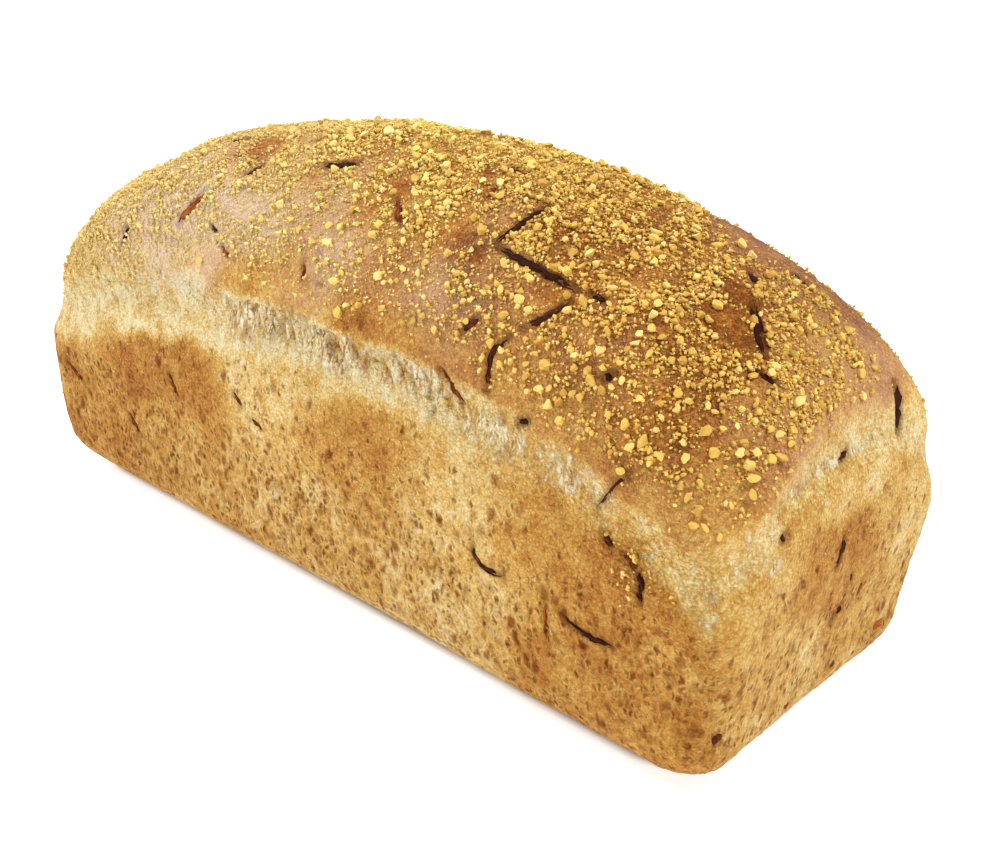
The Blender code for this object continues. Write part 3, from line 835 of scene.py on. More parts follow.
def crust_grid(name, foot, top, roofed, row_cuts):
    """A box round the loaf between two heights, open below and, unless it is roofed, above, with its
    faces cut into a grid."""
    bpy.ops.mesh.primitive_cube_add(size=1, location=(0, 0, (top + foot) / 2),
                                    scale=(LOAF_LENGTH, LOAF_WIDTH, top - foot))
    bpy.ops.object.transform_apply(location=True, rotation=True, scale=True)
    piece = bpy.context.object
    piece.name = name
    piece.data.name = name
    begin_edit("EDGE")
    mesh = bmesh.from_edit_mesh(piece.data)
    for face in mesh.faces:
        face.select_set(face.normal.z < -0.5 or (face.normal.z > 0.5 and not roofed))
    bmesh.update_edit_mesh(piece.data)
    bpy.ops.mesh.delete(type="ONLY_FACE")
    for axis, cuts in ((2, row_cuts), (0, ALONG_CUTS), (1, ACROSS_CUTS)):
        cut_edges(piece, axis, cuts)
    end_edit()
    return piece


def places_of(piece):
    flat = np.empty(len(piece.data.vertices) * 3)
    piece.data.vertices.foreach_get("co", flat)
    return flat.reshape(-1, 3)


def within_cad(places):
    """Keeps places inside the CAD model's box."""
    low, high = (np.array(corner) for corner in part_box("loaf"))
    return np.clip(places, low, high)


def put_places(piece, places):
    piece.data.vertices.foreach_set("co", places.ravel())
    piece.data.update()


def seam_on_box(points):
    """Height on the box's sides from which the ray meets the form at the seam's height."""
    on_side = np.any(np.abs(points[:, :2]) > np.array((LOAF_LENGTH, LOAF_WIDTH)) / 2 - 1e-6, axis=1)
    columns, place = np.unique(np.round(points[:, :2], 7), axis=0, return_inverse=True)
    heights = np.full(len(columns), BAND_HEIGHT)
    used = np.zeros(len(columns), bool)
    used[place[on_side]] = True
    tries = np.column_stack([columns[used], heights[used]])
    for _ in range(8):
        skin = smooth_skin(tries)
        tries[:, 2] += seam_height(skin) - skin[:, 2]
    heights[used] = tries[:, 2]
    return heights[place.ravel()]


def finish_crust(piece, box_places, above, finder):
    """Moves a piece's grid on to the crust and gives each vertex its finish values."""
    skin = smooth_skin(box_places)
    past, char = beside_shreds(skin, finder)
    relief, finish = crust_finish(skin, above(skin), (past, char))
    relief -= SHRED_BED * bell(np.maximum(past, 0), 0.5 * MM)
    places = skin + skin_normals(skin) * relief[:, None]
    places[:, 2] = np.where(skin[:, 2] < FLAT_BELOW, 0, np.maximum(places[:, 2], 0))
    put_places(piece, within_cad(places))
    for name, values in finish.items():
        layer = piece.data.attributes.new(name, "FLOAT", "POINT")
        layer.data.foreach_set("value", values)


def close_inside(piece, height):
    """Closes a crust piece along its seam: the open edge runs inward to a flat cap inside the loaf."""
    skin_faces = len(piece.data.polygons)
    begin_edit("EDGE")
    bpy.ops.mesh.select_non_manifold(extend=False)
    bpy.ops.mesh.mark_sharp()
    bpy.ops.mesh.extrude_edges_move()
    bpy.ops.transform.resize(value=(CAP_SHRINK, CAP_SHRINK, 1), center_override=(0, 0, 0))
    mesh = bmesh.from_edit_mesh(piece.data)
    for vert in mesh.verts:
        if vert.select:
            vert.co.z = height
    mesh.verts.index_update()
    mesh.faces.index_update()

    def turn(face):
        """The extruded faces come in no fixed order, so they are put in the order of their edges."""
        first, second = sorted(vert.index for vert in face.verts)[:2]
        return face.index if face.index < skin_faces else skin_faces + first * len(mesh.verts) + second

    mesh.faces.sort(key=turn)
    bmesh.update_edit_mesh(piece.data)
    bpy.ops.mesh.edge_face_add()
    bpy.ops.mesh.select_all(action="SELECT")
    bpy.ops.mesh.normals_make_consistent(inside=False)
    end_edit()


def make_crown(finder):
    crown = crust_grid("crown_crust", BAND_HEIGHT, CROWN_BOX_TOP, True, CROWN_ROW_CUTS)
    points = places_of(crown)
    rows = math.prod(CROWN_ROW_CUTS)
    row = (points[:, 2] - BAND_HEIGHT) / (CROWN_BOX_TOP - BAND_HEIGHT) * rows
    seam = seam_on_box(points)
    lip = seam + FIRST_ROW * np.minimum(row, 1)
    points[:, 2] = lip + (CROWN_BOX_TOP - lip) * np.maximum(row - 1, 0) / (rows - 1)
    at_seam = row < 0.5

    def above(skin):
        height = skin[:, 2] - seam_height(skin)
        return np.where(at_seam, 0, np.maximum(height, 0.01 * MM))

    finish_crust(crown, points, above, finder)
    close_inside(crown, CROWN_CAP)
    return crown


def make_wall(finder):
    wall = crust_grid("wall_crust", 0, BAND_HEIGHT, False, WALL_ROW_CUTS)
    points = places_of(wall)
    share = points[:, 2] / BAND_HEIGHT
    seam = seam_on_box(points)
    foot = WALL_BOX_FOOT + (FOOT_TOP - WALL_BOX_FOOT) * np.minimum(share / FOOT_SHARE, 1)
    points[:, 2] = foot + (seam - FOOT_TOP) * np.maximum(share - FOOT_SHARE, 0) / (1 - FOOT_SHARE)

    def above(skin):
        return np.minimum(skin[:, 2] - seam_height(skin), 0)

    finish_crust(wall, points, above, finder)
    begin_edit("EDGE")
    mesh = bmesh.from_edit_mesh(wall.data)
    for edge in mesh.edges:
        if edge.is_boundary and edge.verts[0].co.z < FLAT_BELOW and edge.verts[1].co.z < FLAT_BELOW:
            edge.select_set(True)
    bmesh.update_edit_mesh(wall.data)
    bpy.ops.mesh.edge_face_add()
    end_edit()
    close_inside(wall, WALL_CAP)
    return wall


# ---- making the shreds ----------------------------------------------------------------------------

def join_mesh(name, places, faces, values):
    """One mesh from arrays, with one value a vertex."""
    data = bpy.data.meshes.new(name)
    data.from_pydata(places, [], faces)
    for key, numbers in values.items():
        layer = data.attributes.new(key, "FLOAT", "POINT")
        layer.data.foreach_set("value", numbers)
    piece = bpy.data.objects.new(name, data)
    bpy.context.scene.collection.objects.link(piece)
    return piece


def model_strip():
    """One straight strip, a unit long and wide, as rings of a drawn-out cylinder."""
    bpy.ops.mesh.primitive_cylinder_add(vertices=SHRED_SIDES, radius=0.5, depth=1)
    strip = bpy.context.object
    begin_edit("EDGE")
    cut_edges(strip, 2, (SHRED_RINGS - 1,))
    end_edit()
    places = places_of(strip)
    faces = [tuple(face.vertices) for face in strip.data.polygons]
    bpy.data.objects.remove(strip)
    return places, faces


def make_shreds(chains, courses):
    """Every shred as a thin ribbon that lies in the crust, with a frayed fibre along each flank."""
    strip, strip_faces = model_strip()
    ring = np.rint((strip[:, 2] + 0.5) * (SHRED_RINGS - 1)).astype(int)
    share = ring / (SHRED_RINGS - 1)
    bodies, faces, chars, runs, across_runs = [], [], [], [], []
    count = 0
    for number, ((_, width, char), course) in enumerate(zip(chains, courses)):
        normals = skin_normals(course)
        heading = np.gradient(course, axis=0)
        across = unit(np.cross(normals, heading))
        length = np.linalg.norm(heading, axis=1).cumsum()
        for part, (side, slim, start, stop) in enumerate(FIBRES):
            shift = number * 3.1 + part * 7.7
            fade = np.clip((share - start) / (stop - start), 0, 1)
            ends = np.maximum(1 - np.abs(2 * fade - 1) ** 3, 0.04)
            uneven = sum((share_of_width * wobble(course, wide * MM, shift=shift)
                          for wide, share_of_width in RAGGED_WIDTHS), 1)
            stray = STRAND_SWAY[1] * MM * wobble(course, STRAND_SWAY[0] * MM, shift=shift + 20) * (part > 0)
            middle = (side * width * MM / 2 * SHRED_SLIM + stray)[ring]
            half = strip[:, 0] * slim * SHRED_SLIM * width * MM * ends * uneven[ring]
            flat = course[ring] + across[ring] * (middle + half)[:, None]
            skin = smooth_skin(flat)
            above = skin[:, 2] - seam_height(skin)
            relief, _ = crust_finish(skin, above, (np.full(len(skin), 1.0), np.zeros(len(skin))))
            deep = (strip[:, 1] - 0.5) * SHRED_THICKNESS + SHRED_PROUD * ends
            deep += SHRED_ROUGHNESS * wobble(skin, 1.1 * MM, shift=50 + shift) - SHRED_END_DIP * (1 - ends)
            deep -= SHRED_DIP * np.clip(wobble(skin, 2.8 * MM, shift=70 + shift) - 0.12, 0, 1)
            bodies.append(skin + normals[ring] * (relief + deep)[:, None])
            faces += [tuple(count + corner for corner in face) for face in strip_faces]
            count += len(strip)
            chars += [char] * len(strip)
            runs += list(length[ring])
            across_runs += list(middle + half + number * width * MM)
    values = {"char": chars, "run": runs, "across": across_runs}
    piece = join_mesh("carrot_shreds", within_cad(np.vstack(bodies)), faces, values)
    piece.data.shade_smooth()
    return piece


# ---- making the grit ------------------------------------------------------------------------------

CHIPS = 6                       # shapes of chip for each size
BITES = 6                       # cuts by which a coarse chip is broken
BITE_DEPTHS = (0.18, 0.34)      # from its middle, for a chip as wide as 1
JOLTS = (0.6, 1.3)
BASE_SINK = 0.35
GRAIN_LEAN = 0.35
GRAIN_STRETCH = ((0.8, 0.75, 0.65), (1.35, 1.0, 1.0))
TOASTED_FROM = 80 * MM          # along the loaf, past which grains are toasted through
FLOURY_FROM = 70 * MM           # the other way, past which they are floury


def model_chip(kind, number):
    """One chip of maize, as wide as 1: a primitive of few faces, knocked out of true as milling does."""
    if kind == "coarse_grit":
        bpy.ops.mesh.primitive_ico_sphere_add(subdivisions=1, radius=0.5)
    elif kind == "medium_grit":
        bpy.ops.mesh.primitive_uv_sphere_add(segments=5, ring_count=3, radius=0.5)
    elif kind == "maize_dust":
        bpy.ops.mesh.primitive_cone_add(vertices=3, radius1=0.5, depth=0.7)
    else:
        bpy.ops.mesh.primitive_cone_add(vertices=4, radius1=0.5, depth=0.6, end_fill_type="TRIFAN")
    chip = bpy.context.object
    dice = random.Random(SEED * 100 + number)
    places = places_of(chip)
    under = (np.hypot(places[:, 0], places[:, 1]) < 0.01) & (places[:, 2] < 0)
    places[under, 2] -= BASE_SINK
    jolts = [[dice.uniform(*JOLTS) for _ in range(3)] for _ in places]
    put_places(chip, places * jolts)
    bpy.ops.object.mode_set(mode="EDIT")
    for _ in range(BITES if kind == "coarse_grit" else 0):
        facing = Vector([dice.gauss(0, 1) for _ in range(3)]).normalized()
        bpy.ops.mesh.select_all(action="SELECT")
        bpy.ops.mesh.bisect(plane_co=facing * dice.uniform(*BITE_DEPTHS), plane_no=facing,
                            use_fill=True, clear_outer=True)
    bpy.ops.mesh.select_all(action="SELECT")
    bpy.ops.mesh.remove_doubles(threshold=0.04)
    bpy.ops.mesh.normals_make_consistent(inside=False)
    bpy.ops.mesh.quads_convert_to_tris()
    end_edit()
    places = places_of(chip)
    places -= (places.min(axis=0) + places.max(axis=0)) / 2
    faces = np.array([tuple(face.vertices) for face in chip.data.polygons])
    bpy.data.objects.remove(chip)
    return places / np.ptp(places, axis=0).max(), faces


def grit_cover(places, above):
    """How thickly coarse, medium and fine grit lie at each place."""
    cover = shade_of(places, GRIT_SPOTS, GRIT_BLUR)
    over_band = DUST_OVER_BAND * ramp(-places[:, 0], 40 * MM, 90 * MM)
    start = ramp(above + over_band, *GRIT_EDGE)
    clumps = 0.65 + 1.0 * wobble(places, 8 * MM, shift=60) + 0.8 * wobble(places, 3.2 * MM, shift=61)
    clumps = np.clip(clumps, 0.03, 1.8)
    soft = np.clip(0.75 + 0.6 * wobble(places, 6 * MM, shift=62), 0.1, 1.5)
    coarse, medium, fine = np.clip(cover, 0, 1) * (1 - bare_patches(places))
    strays = STRAY_SHARE * (1 - start) * ramp(above, *STRAY_REACH)
    spill = SPILL_SHARE * bell(apart(places, SPILL), SPILL_REACH)
    return (coarse * clumps * start, medium * clumps * start + 0.1 * strays + spill,
            fine * soft * start + strays + spill)


def choose_spots(chooser, crown_faces, weights, count):
    """Random places on the crust, chosen by area and cover, with their outward directions."""
    corners, normals = crown_faces
    picks = chooser.choice(len(weights), count, p=weights / weights.sum())
    shares = chooser.random((count, 2))
    first = corners[picks, 0] * (1 - shares[:, :1]) + corners[picks, 1] * shares[:, :1]
    second = corners[picks, 3] * (1 - shares[:, :1]) + corners[picks, 2] * shares[:, :1]
    return first * (1 - shares[:, 1:]) + second * shares[:, 1:], normals[picks]


def keep_apart(places, gap, count):
    """The first places of a list that keep their distance from the ones before."""
    tree_cells, kept = {}, []
    for index, place in enumerate(places.tolist()):
        cell = tuple(int(math.floor(value / gap)) for value in place)
        near = [other for dx in (-1, 0, 1) for dy in (-1, 0, 1) for dz in (-1, 0, 1)
                for other in tree_cells.get((cell[0] + dx, cell[1] + dy, cell[2] + dz), ())]
        if all(math.dist(place, other) > gap for other in near):
            tree_cells.setdefault(cell, []).append(place)
            kept.append(index)
            if len(kept) == count:
                break
    return kept


def lay_grit(name, chooser, chips, places, normals, sizes, lift):
    """One mesh of many grains: copies of the chips, each sized, turned and set in the crust."""
    count = len(places)
    spin = chooser.uniform(0, 2 * math.pi, count)
    helper = np.where(np.abs(normals[:, :1]) < 0.8, np.array([[1.0, 0, 0]]), np.array([[0, 1.0, 0]]))
    side = unit(np.cross(helper, normals))
    other = np.cross(normals, side)
    leans = [GRAIN_LEAN * chooser.normal(size=(count, 1)) for _ in range(2)]
    tilt = unit(normals + leans[0] * side + leans[1] * other)
    forward = side * np.cos(spin)[:, None] + other * np.sin(spin)[:, None]
    right = unit(np.cross(forward, tilt))
    forward = np.cross(tilt, right)
    stretch = chooser.uniform(*GRAIN_STRETCH, (count, 3))
    seat = places + normals * (sizes * lift)[:, None]
    kind = chooser.integers(0, len(chips), count)
    traits = {"tone": chooser.random(count), "toast": ramp(places[:, 0], 0, TOASTED_FROM),
              "floury": ramp(-places[:, 0], 0, FLOURY_FROM)}
    all_places, all_faces, values, start = [], [], {key: [] for key in traits}, 0
    for number, (chip, chip_faces) in enumerate(chips):
        mine = np.flatnonzero(kind == number)
        shaped = chip[None] * (stretch[mine] * sizes[mine, None])[:, None, :]
        turned = (shaped[..., :1] * right[mine, None] + shaped[..., 1:2] * forward[mine, None]
                  + shaped[..., 2:] * tilt[mine, None])
        all_places.append((turned + seat[mine, None]).reshape(-1, 3))
        offsets = start + np.arange(len(mine)) * len(chip)
        all_faces.append((chip_faces[None] + offsets[:, None, None]).reshape(-1, 3))
        for key, trait in traits.items():
            values[key] += np.repeat(trait[mine], len(chip)).tolist()
        start += len(mine) * len(chip)
    return join_mesh(name, within_cad(np.vstack(all_places)), np.vstack(all_faces).tolist(), values)


def make_grit(crown, wall, finder):
    corners = []
    for piece in (crown, wall):
        quads = [tuple(face.vertices) for face in piece.data.polygons if len(face.vertices) == 4]
        corners.append(places_of(piece)[np.array(quads)])
    corners = np.vstack(corners)
    middles = corners.mean(axis=1)
    normals = np.cross(corners[:, 2] - corners[:, 0], corners[:, 3] - corners[:, 1]) / 2
    area = np.linalg.norm(normals, axis=1)
    smooth = skin_normals(middles)
    on_crust = np.einsum("ij,ij->i", normals / area[:, None], smooth) > 0.3
    on_crust &= np.abs(outside(middles)) < GRIT_DEPTH
    on_crust &= beside_shreds(smooth_skin(middles), finder)[0] > GRIT_TO_SHRED
    above = middles[:, 2] - seam_height(middles)
    covers = [cover * area * on_crust for cover in grit_cover(middles, above)]
    chooser = np.random.default_rng(SEED)
    pieces = []

    for name, (cover, count, sizes, skew, lift) in GRITS.items():
        coarse = name == "coarse_grit"
        tries = count * COARSE_TRIES if coarse else count
        places, outward = choose_spots(chooser, (corners, smooth), covers[cover], tries)
        if coarse:
            kept = keep_apart(places, COARSE_GAP, count)
            places, outward = places[kept], outward[kept]
        grain_sizes = sizes[0] + (sizes[1] - sizes[0]) * chooser.random(len(places)) ** skew
        chips = [model_chip(name, len(pieces) * CHIPS + number) for number in range(CHIPS)]
        pieces.append(lay_grit(name, chooser, chips, places, outward, grain_sizes, lift))
    return pieces


# ---- materials ------------------------------------------------------------------------------------

def colour(code):
    """A colour written as an sRGB hex code, as linear red, green, blue and 1."""
    levels = [int(code[at:at + 2], 16) / 255 for at in (1, 3, 5)]
    linear = [level / 12.92 if level <= 0.04045 else ((level + 0.055) / 1.055) ** 2.4 for level in levels]
    return (*linear, 1.0)


def feed(node, inputs):
    """Sets a node's inputs, by name or number, as values or links. A node that is given as a value
    is linked by its first output in use."""
    for name, value in inputs.items():
        if isinstance(value, bpy.types.Node):
            value = next(socket for socket in value.outputs if socket.enabled)
        if isinstance(value, bpy.types.NodeSocket):
            node.id_data.links.new(value, node.inputs[name])
        else:
            node.inputs[name].default_value = value


def add_node(tree, kind, *inputs, stops=(), **settings):
    """Adds a node with its settings, its colour stops and its inputs: in order, or as one dictionary."""
    node = tree.nodes.new(f"ShaderNode{kind}")
    for name, value in settings.items():
        setattr(node, name, value)
    feed(node, inputs[0] if inputs and isinstance(inputs[0], dict) else dict(enumerate(inputs)))
    if stops:
        elements = node.color_ramp.elements
        while len(elements) > 1:
            elements.remove(elements[-1])
        elements[0].position, elements[0].color = stops[0][0], colour(stops[0][1])
        for place, code in stops[1:]:
            elements.new(place).color = colour(code)
    return node


def begin_material(name, values=()):
    """A material, what adds nodes to it, its shader, its place on the object, and the mesh's values."""
    material = bpy.data.materials.new(name)
    material.use_nodes = True
    add = partial(add_node, material.node_tree)
    shader = material.node_tree.nodes["Principled BSDF"]
    read = {value: add("Attribute", attribute_name=value).outputs["Fac"] for value in values}
    return material, add, shader, add("TexCoord").outputs["Object"], read


def make_crust_material():
    """Baked wheat-and-rye crust, browned by the oven: matt and granular on the walls, where it
    baked against tin, and a little glossy on the crown, where it baked in steam."""
    material, add, shader, place, read = begin_material("baked_wheat_crust", (
        "bake", "blush_and_sheen", "glaze", "grainy", "torn", "painted_furrow_shade", "mottle", "crumb", "painted_pore_shade", "scorch",
        "porous", "dusty"))
    # Unevenness of the baked skin: how wide in millimetres, in how much detail, and how rough.
    patches, flecks, grains, folds, sifted, bend = (
        add("TexNoise", {"Vector": place, "Scale": 1 / (wide * MM), "Detail": detail, "Roughness": rough})
        for wide, detail, rough in (
            (7, 3, 0.55), (1.4, 4, 0.65), (0.5, 3, 0.75), (2.2, 3, 0.55), (0.6, 2, 0.5), (1.5, 2, 0.5)))
    bent = add("VectorMath", bend.outputs["Color"], (1.6 * MM, 1.6 * MM, 1.6 * MM), place,
               operation="MULTIPLY_ADD")
    # Pebbled grain of the crust: the borders between cells lie lower in the bump and, as painted shade,
    # browner in colour.
    pebbles_and_painted_shade = add("TexVoronoi", {"Vector": bent, "Scale": 1 / (0.85 * MM)})
    pebbles_and_painted_shade = add("Math", pebbles_and_painted_shade, 0.42, operation="SUBTRACT")
    pebbles_and_painted_shade = add("Math", pebbles_and_painted_shade, read["grainy"], operation="MULTIPLY")

    # Pores too small for the mesh, stretched upright, bigger and smaller, with thin ridges between: sunk by
    # the bump and darkened in colour as painted shade.
    upright = add("Mapping", {"Vector": bent, "Scale": (1.0, 1.0, 0.62)})
    small_pores_and_painted_shade = 0.0
    for wide, share in ((3.0, 0.8), (1.6, 1.15)):
        cells, ridges = (add("TexVoronoi", {"Vector": upright, "Scale": 1 / (wide * MM)}, feature=feature)
                         for feature in ("F1", "DISTANCE_TO_EDGE"))
        luck = add("SeparateColor", cells.outputs["Color"])
        limit = add("Math", read["porous"], share, -0.12, operation="MULTIPLY_ADD")
        there = add("Math", luck.outputs["Red"], limit, operation="LESS_THAN")
        deep = add("Math", luck.outputs["Blue"], 0.8, 0.3, operation="MULTIPLY_ADD")
        deep = add("Math", there, deep, operation="MULTIPLY")
        hollow = add("MapRange", ridges, 0.0, 0.42, interpolation_type="SMOOTHSTEP")
        hollow = add("Math", hollow, deep, operation="MULTIPLY")
        small_pores_and_painted_shade = add("Math", small_pores_and_painted_shade, hollow, operation="MAXIMUM")

    # Cracks that slant across the torn band, sunk by the bump and darkened in colour as painted shade.
    slanted = add("Mapping", {"Vector": bent, "Rotation": (0.0, -0.55, 0.0), "Scale": (1.0, 1.0, 0.35)})
    seams = add("TexNoise", {"Vector": slanted, "Scale": 1 / (3.6 * MM), "Detail": 2})
    split = add("Math", add("Math", seams, 0.5, operation="SUBTRACT"), operation="ABSOLUTE")
    cracks = add("MapRange", split, 0.035, 0.008, interpolation_type="SMOOTHSTEP")
    cracks = add("Math", cracks, read["torn"], operation="MULTIPLY")

    # Torn crumb: pale threads, drawn out upright, with painted shade darkening the low furrows between
    # them.
    drawn_out = add("Mapping", {"Vector": bent, "Scale": (1.0, 1.0, 0.28)})
    threads = add("TexNoise", {"Vector": drawn_out, "Scale": 1 / (1.1 * MM), "Detail": 3, "Roughness": 0.6})
    thread_tone_with_painted_furrow_shade = add("ValToRGB", threads, stops=(
        (0.36, "#b48640"), (0.43, "#dfbd7c"), (0.5, "#f2dca8"), (0.6, "#fff3d2")))
    crumb_with_painted_furrow_shade = add("Mix", {0: read["painted_furrow_shade"], 6: thread_tone_with_painted_furrow_shade, 7: colour("#dcac66")},
                   data_type="RGBA", blend_type="MULTIPLY")
    bared = read["crumb"]
    for pattern, share in ((flecks, 1.2), (grains, 0.6)):
        centred = add("Math", pattern, 0.5, operation="SUBTRACT")
        bared = add("Math", centred, share, bared, operation="MULTIPLY_ADD")
    bared = add("MapRange", bared, 0.22, 0.55, interpolation_type="SMOOTHSTEP")

    # How far it is baked, from pale crumb to deep brown.
    mottling = add("Math", grains, 1.0, -0.95, operation="MULTIPLY_ADD")
    mottling = add("Math", flecks, 0.9, mottling, operation="MULTIPLY_ADD")
    baked = read["bake"]
    for pattern, share in ((mottling, read["mottle"]), (patches, 0.5), (pebbles_and_painted_shade, 0.45),
                           (read["porous"], -0.08)):
        baked = add("Math", pattern, share, baked, operation="MULTIPLY_ADD")
    tone = add("ValToRGB", add("Math", baked, 0.31, operation="SUBTRACT"), stops=(
        (0.0, "#f6e6b6"), (0.18, "#eecf8c"), (0.34, "#e0b462"), (0.5, "#d09b4a"),
        (0.68, "#bd7f34"), (0.85, "#a76526"), (1.0, "#7c4415")))
    specks = add("MapRange", sifted, 0.56, 0.63, interpolation_type="SMOOTHSTEP")
    flour = add("Math", specks, read["dusty"], operation="MULTIPLY")
    blush_and_sheen, painted_pore_shade, painted_crack_shade = (add("Math", value, share, operation="MULTIPLY")
                          for value, share in ((read["blush_and_sheen"], 0.78), (read["painted_pore_shade"], 0.7), (cracks, 0.8)))
    # Layers on the baked tone: pinkish bloom with a painted sheen, flour specks, torn crumb, painted shade
    # in the small pores, in the pores, holes and gaps, and in the cracks, and last the scorch beside the
    # shreds.
    for share, layer, mode in (
            (blush_and_sheen, colour("#eaccba"), "MIX"), (flour, colour("#dfc476"), "MIX"), (bared, crumb_with_painted_furrow_shade, "MIX"),
            (small_pores_and_painted_shade, colour("#a87840"), "MULTIPLY"), (painted_pore_shade, colour("#b07c3c"), "MULTIPLY"),
            (painted_crack_shade, colour("#946a32"), "MULTIPLY"), (read["scorch"], colour("#5a2c0a"), "MIX")):
        tone = add("Mix", {0: share, 6: tone, 7: layer}, data_type="RGBA", blend_type=mode)

    roughness = 0.66
    for value, share in ((read["glaze"], -0.30), (flecks, 0.16)):
        roughness = add("Math", value, share, roughness, operation="MULTIPLY_ADD")
    folded = add("Math", folds, read["glaze"], operation="MULTIPLY")
    threaded = add("Math", bared, threads, operation="MULTIPLY")
    raised = add("Math", grains, 1.2, operation="MULTIPLY")
    for pattern, height in ((flecks, 1.9), (pebbles_and_painted_shade, -1.8), (folded, 4.5), (flour, 0.7),
                            (small_pores_and_painted_shade, -1.8), (cracks, -0.6), (threaded, 0.9)):
        raised = add("Math", pattern, height, raised, operation="MULTIPLY_ADD")
    bump = add("Bump", {"Height": raised, "Strength": 1.0, "Distance": 0.42 * MM})
    feed(shader, {"Base Color": tone, "Roughness": roughness, "Normal": bump, "IOR": 1.45,
                  "Specular IOR Level": 0.12})
    return material


def make_grit_material():
    """Maize grit, milled and toasted: pale yellow floury chips, rough and a little waxy."""
    material, add, shader, place, read = begin_material("toasted_maize_grit", ("tone", "toast", "floury"))
    flour, grain = (add("TexNoise", {"Vector": place, "Scale": 1 / (wide * MM), "Detail": 2})
                    for wide in (1.2, 0.4))
    mixed = add("Math", flour, 0.7, read["tone"], operation="MULTIPLY_ADD")
    tone = add("ValToRGB", add("Math", mixed, 0.35, operation="SUBTRACT"), stops=(
        (0.0, "#c79f48"), (0.3, "#debd5c"), (0.65, "#e9cf6c"), (1.0, "#f3e296")))
    floured = add("Math", read["floury"], 0.34, operation="MULTIPLY")
    for share, layer, mode in ((read["toast"], "#fceeda", "MULTIPLY"), (floured, "#d6bc88", "MIX")):
        tone = add("Mix", {0: share, 6: tone, 7: colour(layer)}, data_type="RGBA", blend_type=mode)
    bump = add("Bump", {"Height": grain, "Strength": 0.5, "Distance": 0.12 * MM})
    feed(shader, {"Base Color": tone, "Roughness": 0.6, "Normal": bump, "IOR": 1.5,
                  "Specular IOR Level": 0.3})
    return material


def make_shred_material():
    """Grated carrot, dried and charred in the oven: leathery orange-brown to brittle black."""
    material, add, shader, place, read = begin_material("charred_carrot", ("char", "run", "across"))
    along = add("Math", read["run"], 0.2, operation="MULTIPLY")
    along_fibre = add("CombineXYZ", {"X": along, "Y": read["across"]})
    fibre = add("TexNoise", {"Vector": along_fibre, "Scale": 1 / (0.5 * MM), "Detail": 2, "Roughness": 0.6})
    clots = add("TexNoise", {"Vector": place, "Scale": 1 / (1.6 * MM), "Detail": 3})
    burnt = read["char"]
    for pattern, share in ((clots, 1.1), (fibre, 1.2)):
        burnt = add("Math", pattern, share, burnt, operation="MULTIPLY_ADD")
    tone = add("ValToRGB", add("Math", burnt, 1.15, operation="SUBTRACT"), stops=(
        (0.0, "#a2551a"), (0.3, "#74320f"), (0.62, "#4a1d08"), (1.0, "#2e1003")))
    bump = add("Bump", {"Height": fibre, "Strength": 0.8, "Distance": 0.3 * MM})
    feed(shader, {"Base Color": tone, "Roughness": 0.75, "Normal": bump, "IOR": 1.4,
                  "Specular IOR Level": 0.15})
    return material


# ---- studio ---------------------------------------------------------------------------------------

# The middle of the loaf's foot print, from which the floor's glow brightens: the glow is dimmed round the
# foot as a painted contact shadow.
FOOT_CORE = (111 * MM, 27 * MM, 0)
# How the glow brightens: from and to what distance past that core, and from and to what share of full; the
# first row is the painted contact shadow round the foot, the second a slow rise far off.
FLOOR_GLOW_AND_PAINTED_SHADOW = ((15.5 * MM, 20.5 * MM, 0.0, 1.0), (150 * MM, 900 * MM, 0.74, 1.0))


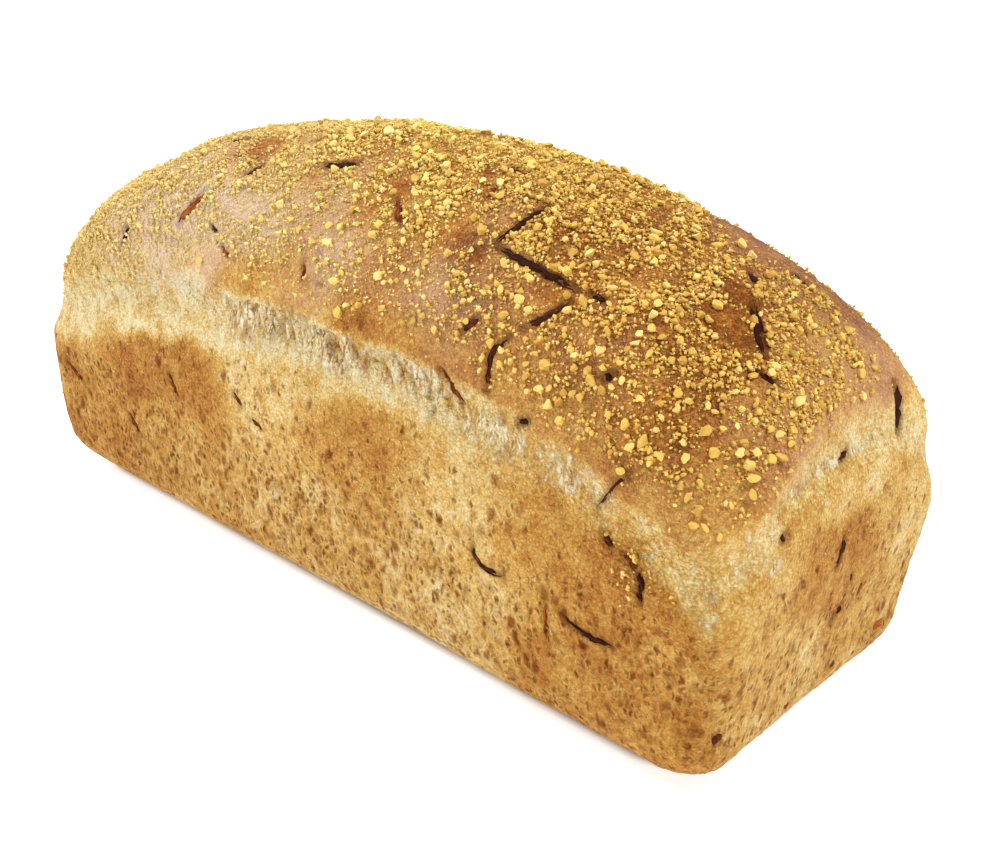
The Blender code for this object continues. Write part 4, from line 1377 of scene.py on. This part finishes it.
def make_studio():
    bpy.ops.mesh.primitive_grid_add(x_subdivisions=8, y_subdivisions=8, size=12)
    floor = bpy.context.object
    floor.name = "studio_floor"
    material, add, shader, place, _ = begin_material("white_paper_glow_with_painted_shadow")
    for operation, reach in (("ABSOLUTE", (0, 0, 0)), ("SUBTRACT", FOOT_CORE), ("MAXIMUM", (0, 0, 0))):
        place = add("VectorMath", place, reach, operation=operation)
    past_core = add("VectorMath", place, operation="LENGTH")
    # The floor glows: near the foot the glow is dimmed as a painted contact shadow, and far off it rises
    # slowly to full.
    near, far = (add("MapRange", past_core, start, end, low, high, interpolation_type="SMOOTHSTEP")
                 for start, end, low, high in FLOOR_GLOW_AND_PAINTED_SHADOW)
    glow_with_painted_contact_shadow = add("Math", near, far, operation="MULTIPLY")
    feed(shader, {"Base Color": colour("#dce0e8"), "Roughness": 0.9, "Specular IOR Level": 0.1,
                  "Emission Color": (1, 1, 1, 1), "Emission Strength": glow_with_painted_contact_shadow})
    floor.data.materials.append(material)

    world = bpy.data.worlds.new("studio")
    world.use_nodes = True
    background = world.node_tree.nodes["Background"]
    background.inputs["Color"].default_value = (1, 1, 1, 1)
    background.inputs["Strength"].default_value = 0.30
    bpy.context.scene.world = world
    # Name, place, size in metres and power in watts.
    lamps = (
        ("key_light", (0.6, 0.25, 1.1), 0.35, 12.5),
        ("left_softbox", (-1.0, -0.25, 0.85), 0.5, 13.0),
        ("front_fill", (0.15, -1.4, 0.55), 1.0, 5.2),
    )
    for name, place, size, power in lamps:
        data = bpy.data.lights.new(name, "AREA")
        data.shape = "DISK"
        data.size = size
        data.energy = power
        lamp = bpy.data.objects.new(name, data)
        lamp.location = place
        aim = Vector((0, 0, 60 * MM)) - Vector(place)
        lamp.rotation_euler = aim.to_track_quat("-Z", "Y").to_euler()
        bpy.context.scene.collection.objects.link(lamp)
    bpy.context.scene.view_settings.view_transform = "Standard"


def main():
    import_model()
    bpy.ops.object.select_all(action="DESELECT")
    make_camera()
    make_studio()

    chains = spread_shreds()
    courses = shred_courses(chains)
    finder = shred_finder(chains, courses)
    crown = make_crown(finder)
    wall = make_wall(finder)
    shreds = make_shreds(chains, courses)
    grit = make_grit(crown, wall, finder)

    crust_material = make_crust_material()
    grit_material = make_grit_material()
    shred_material = make_shred_material()
    for piece in (crown, wall):
        piece.data.shade_smooth()
        piece.data.materials.append(crust_material)
    shreds.data.materials.append(shred_material)
    for piece in grit:
        piece.data.materials.append(grit_material)
    for piece in (crown, wall, shreds, *grit):
        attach(piece, "root")
    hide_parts("loaf")
    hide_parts("loaf")


main()
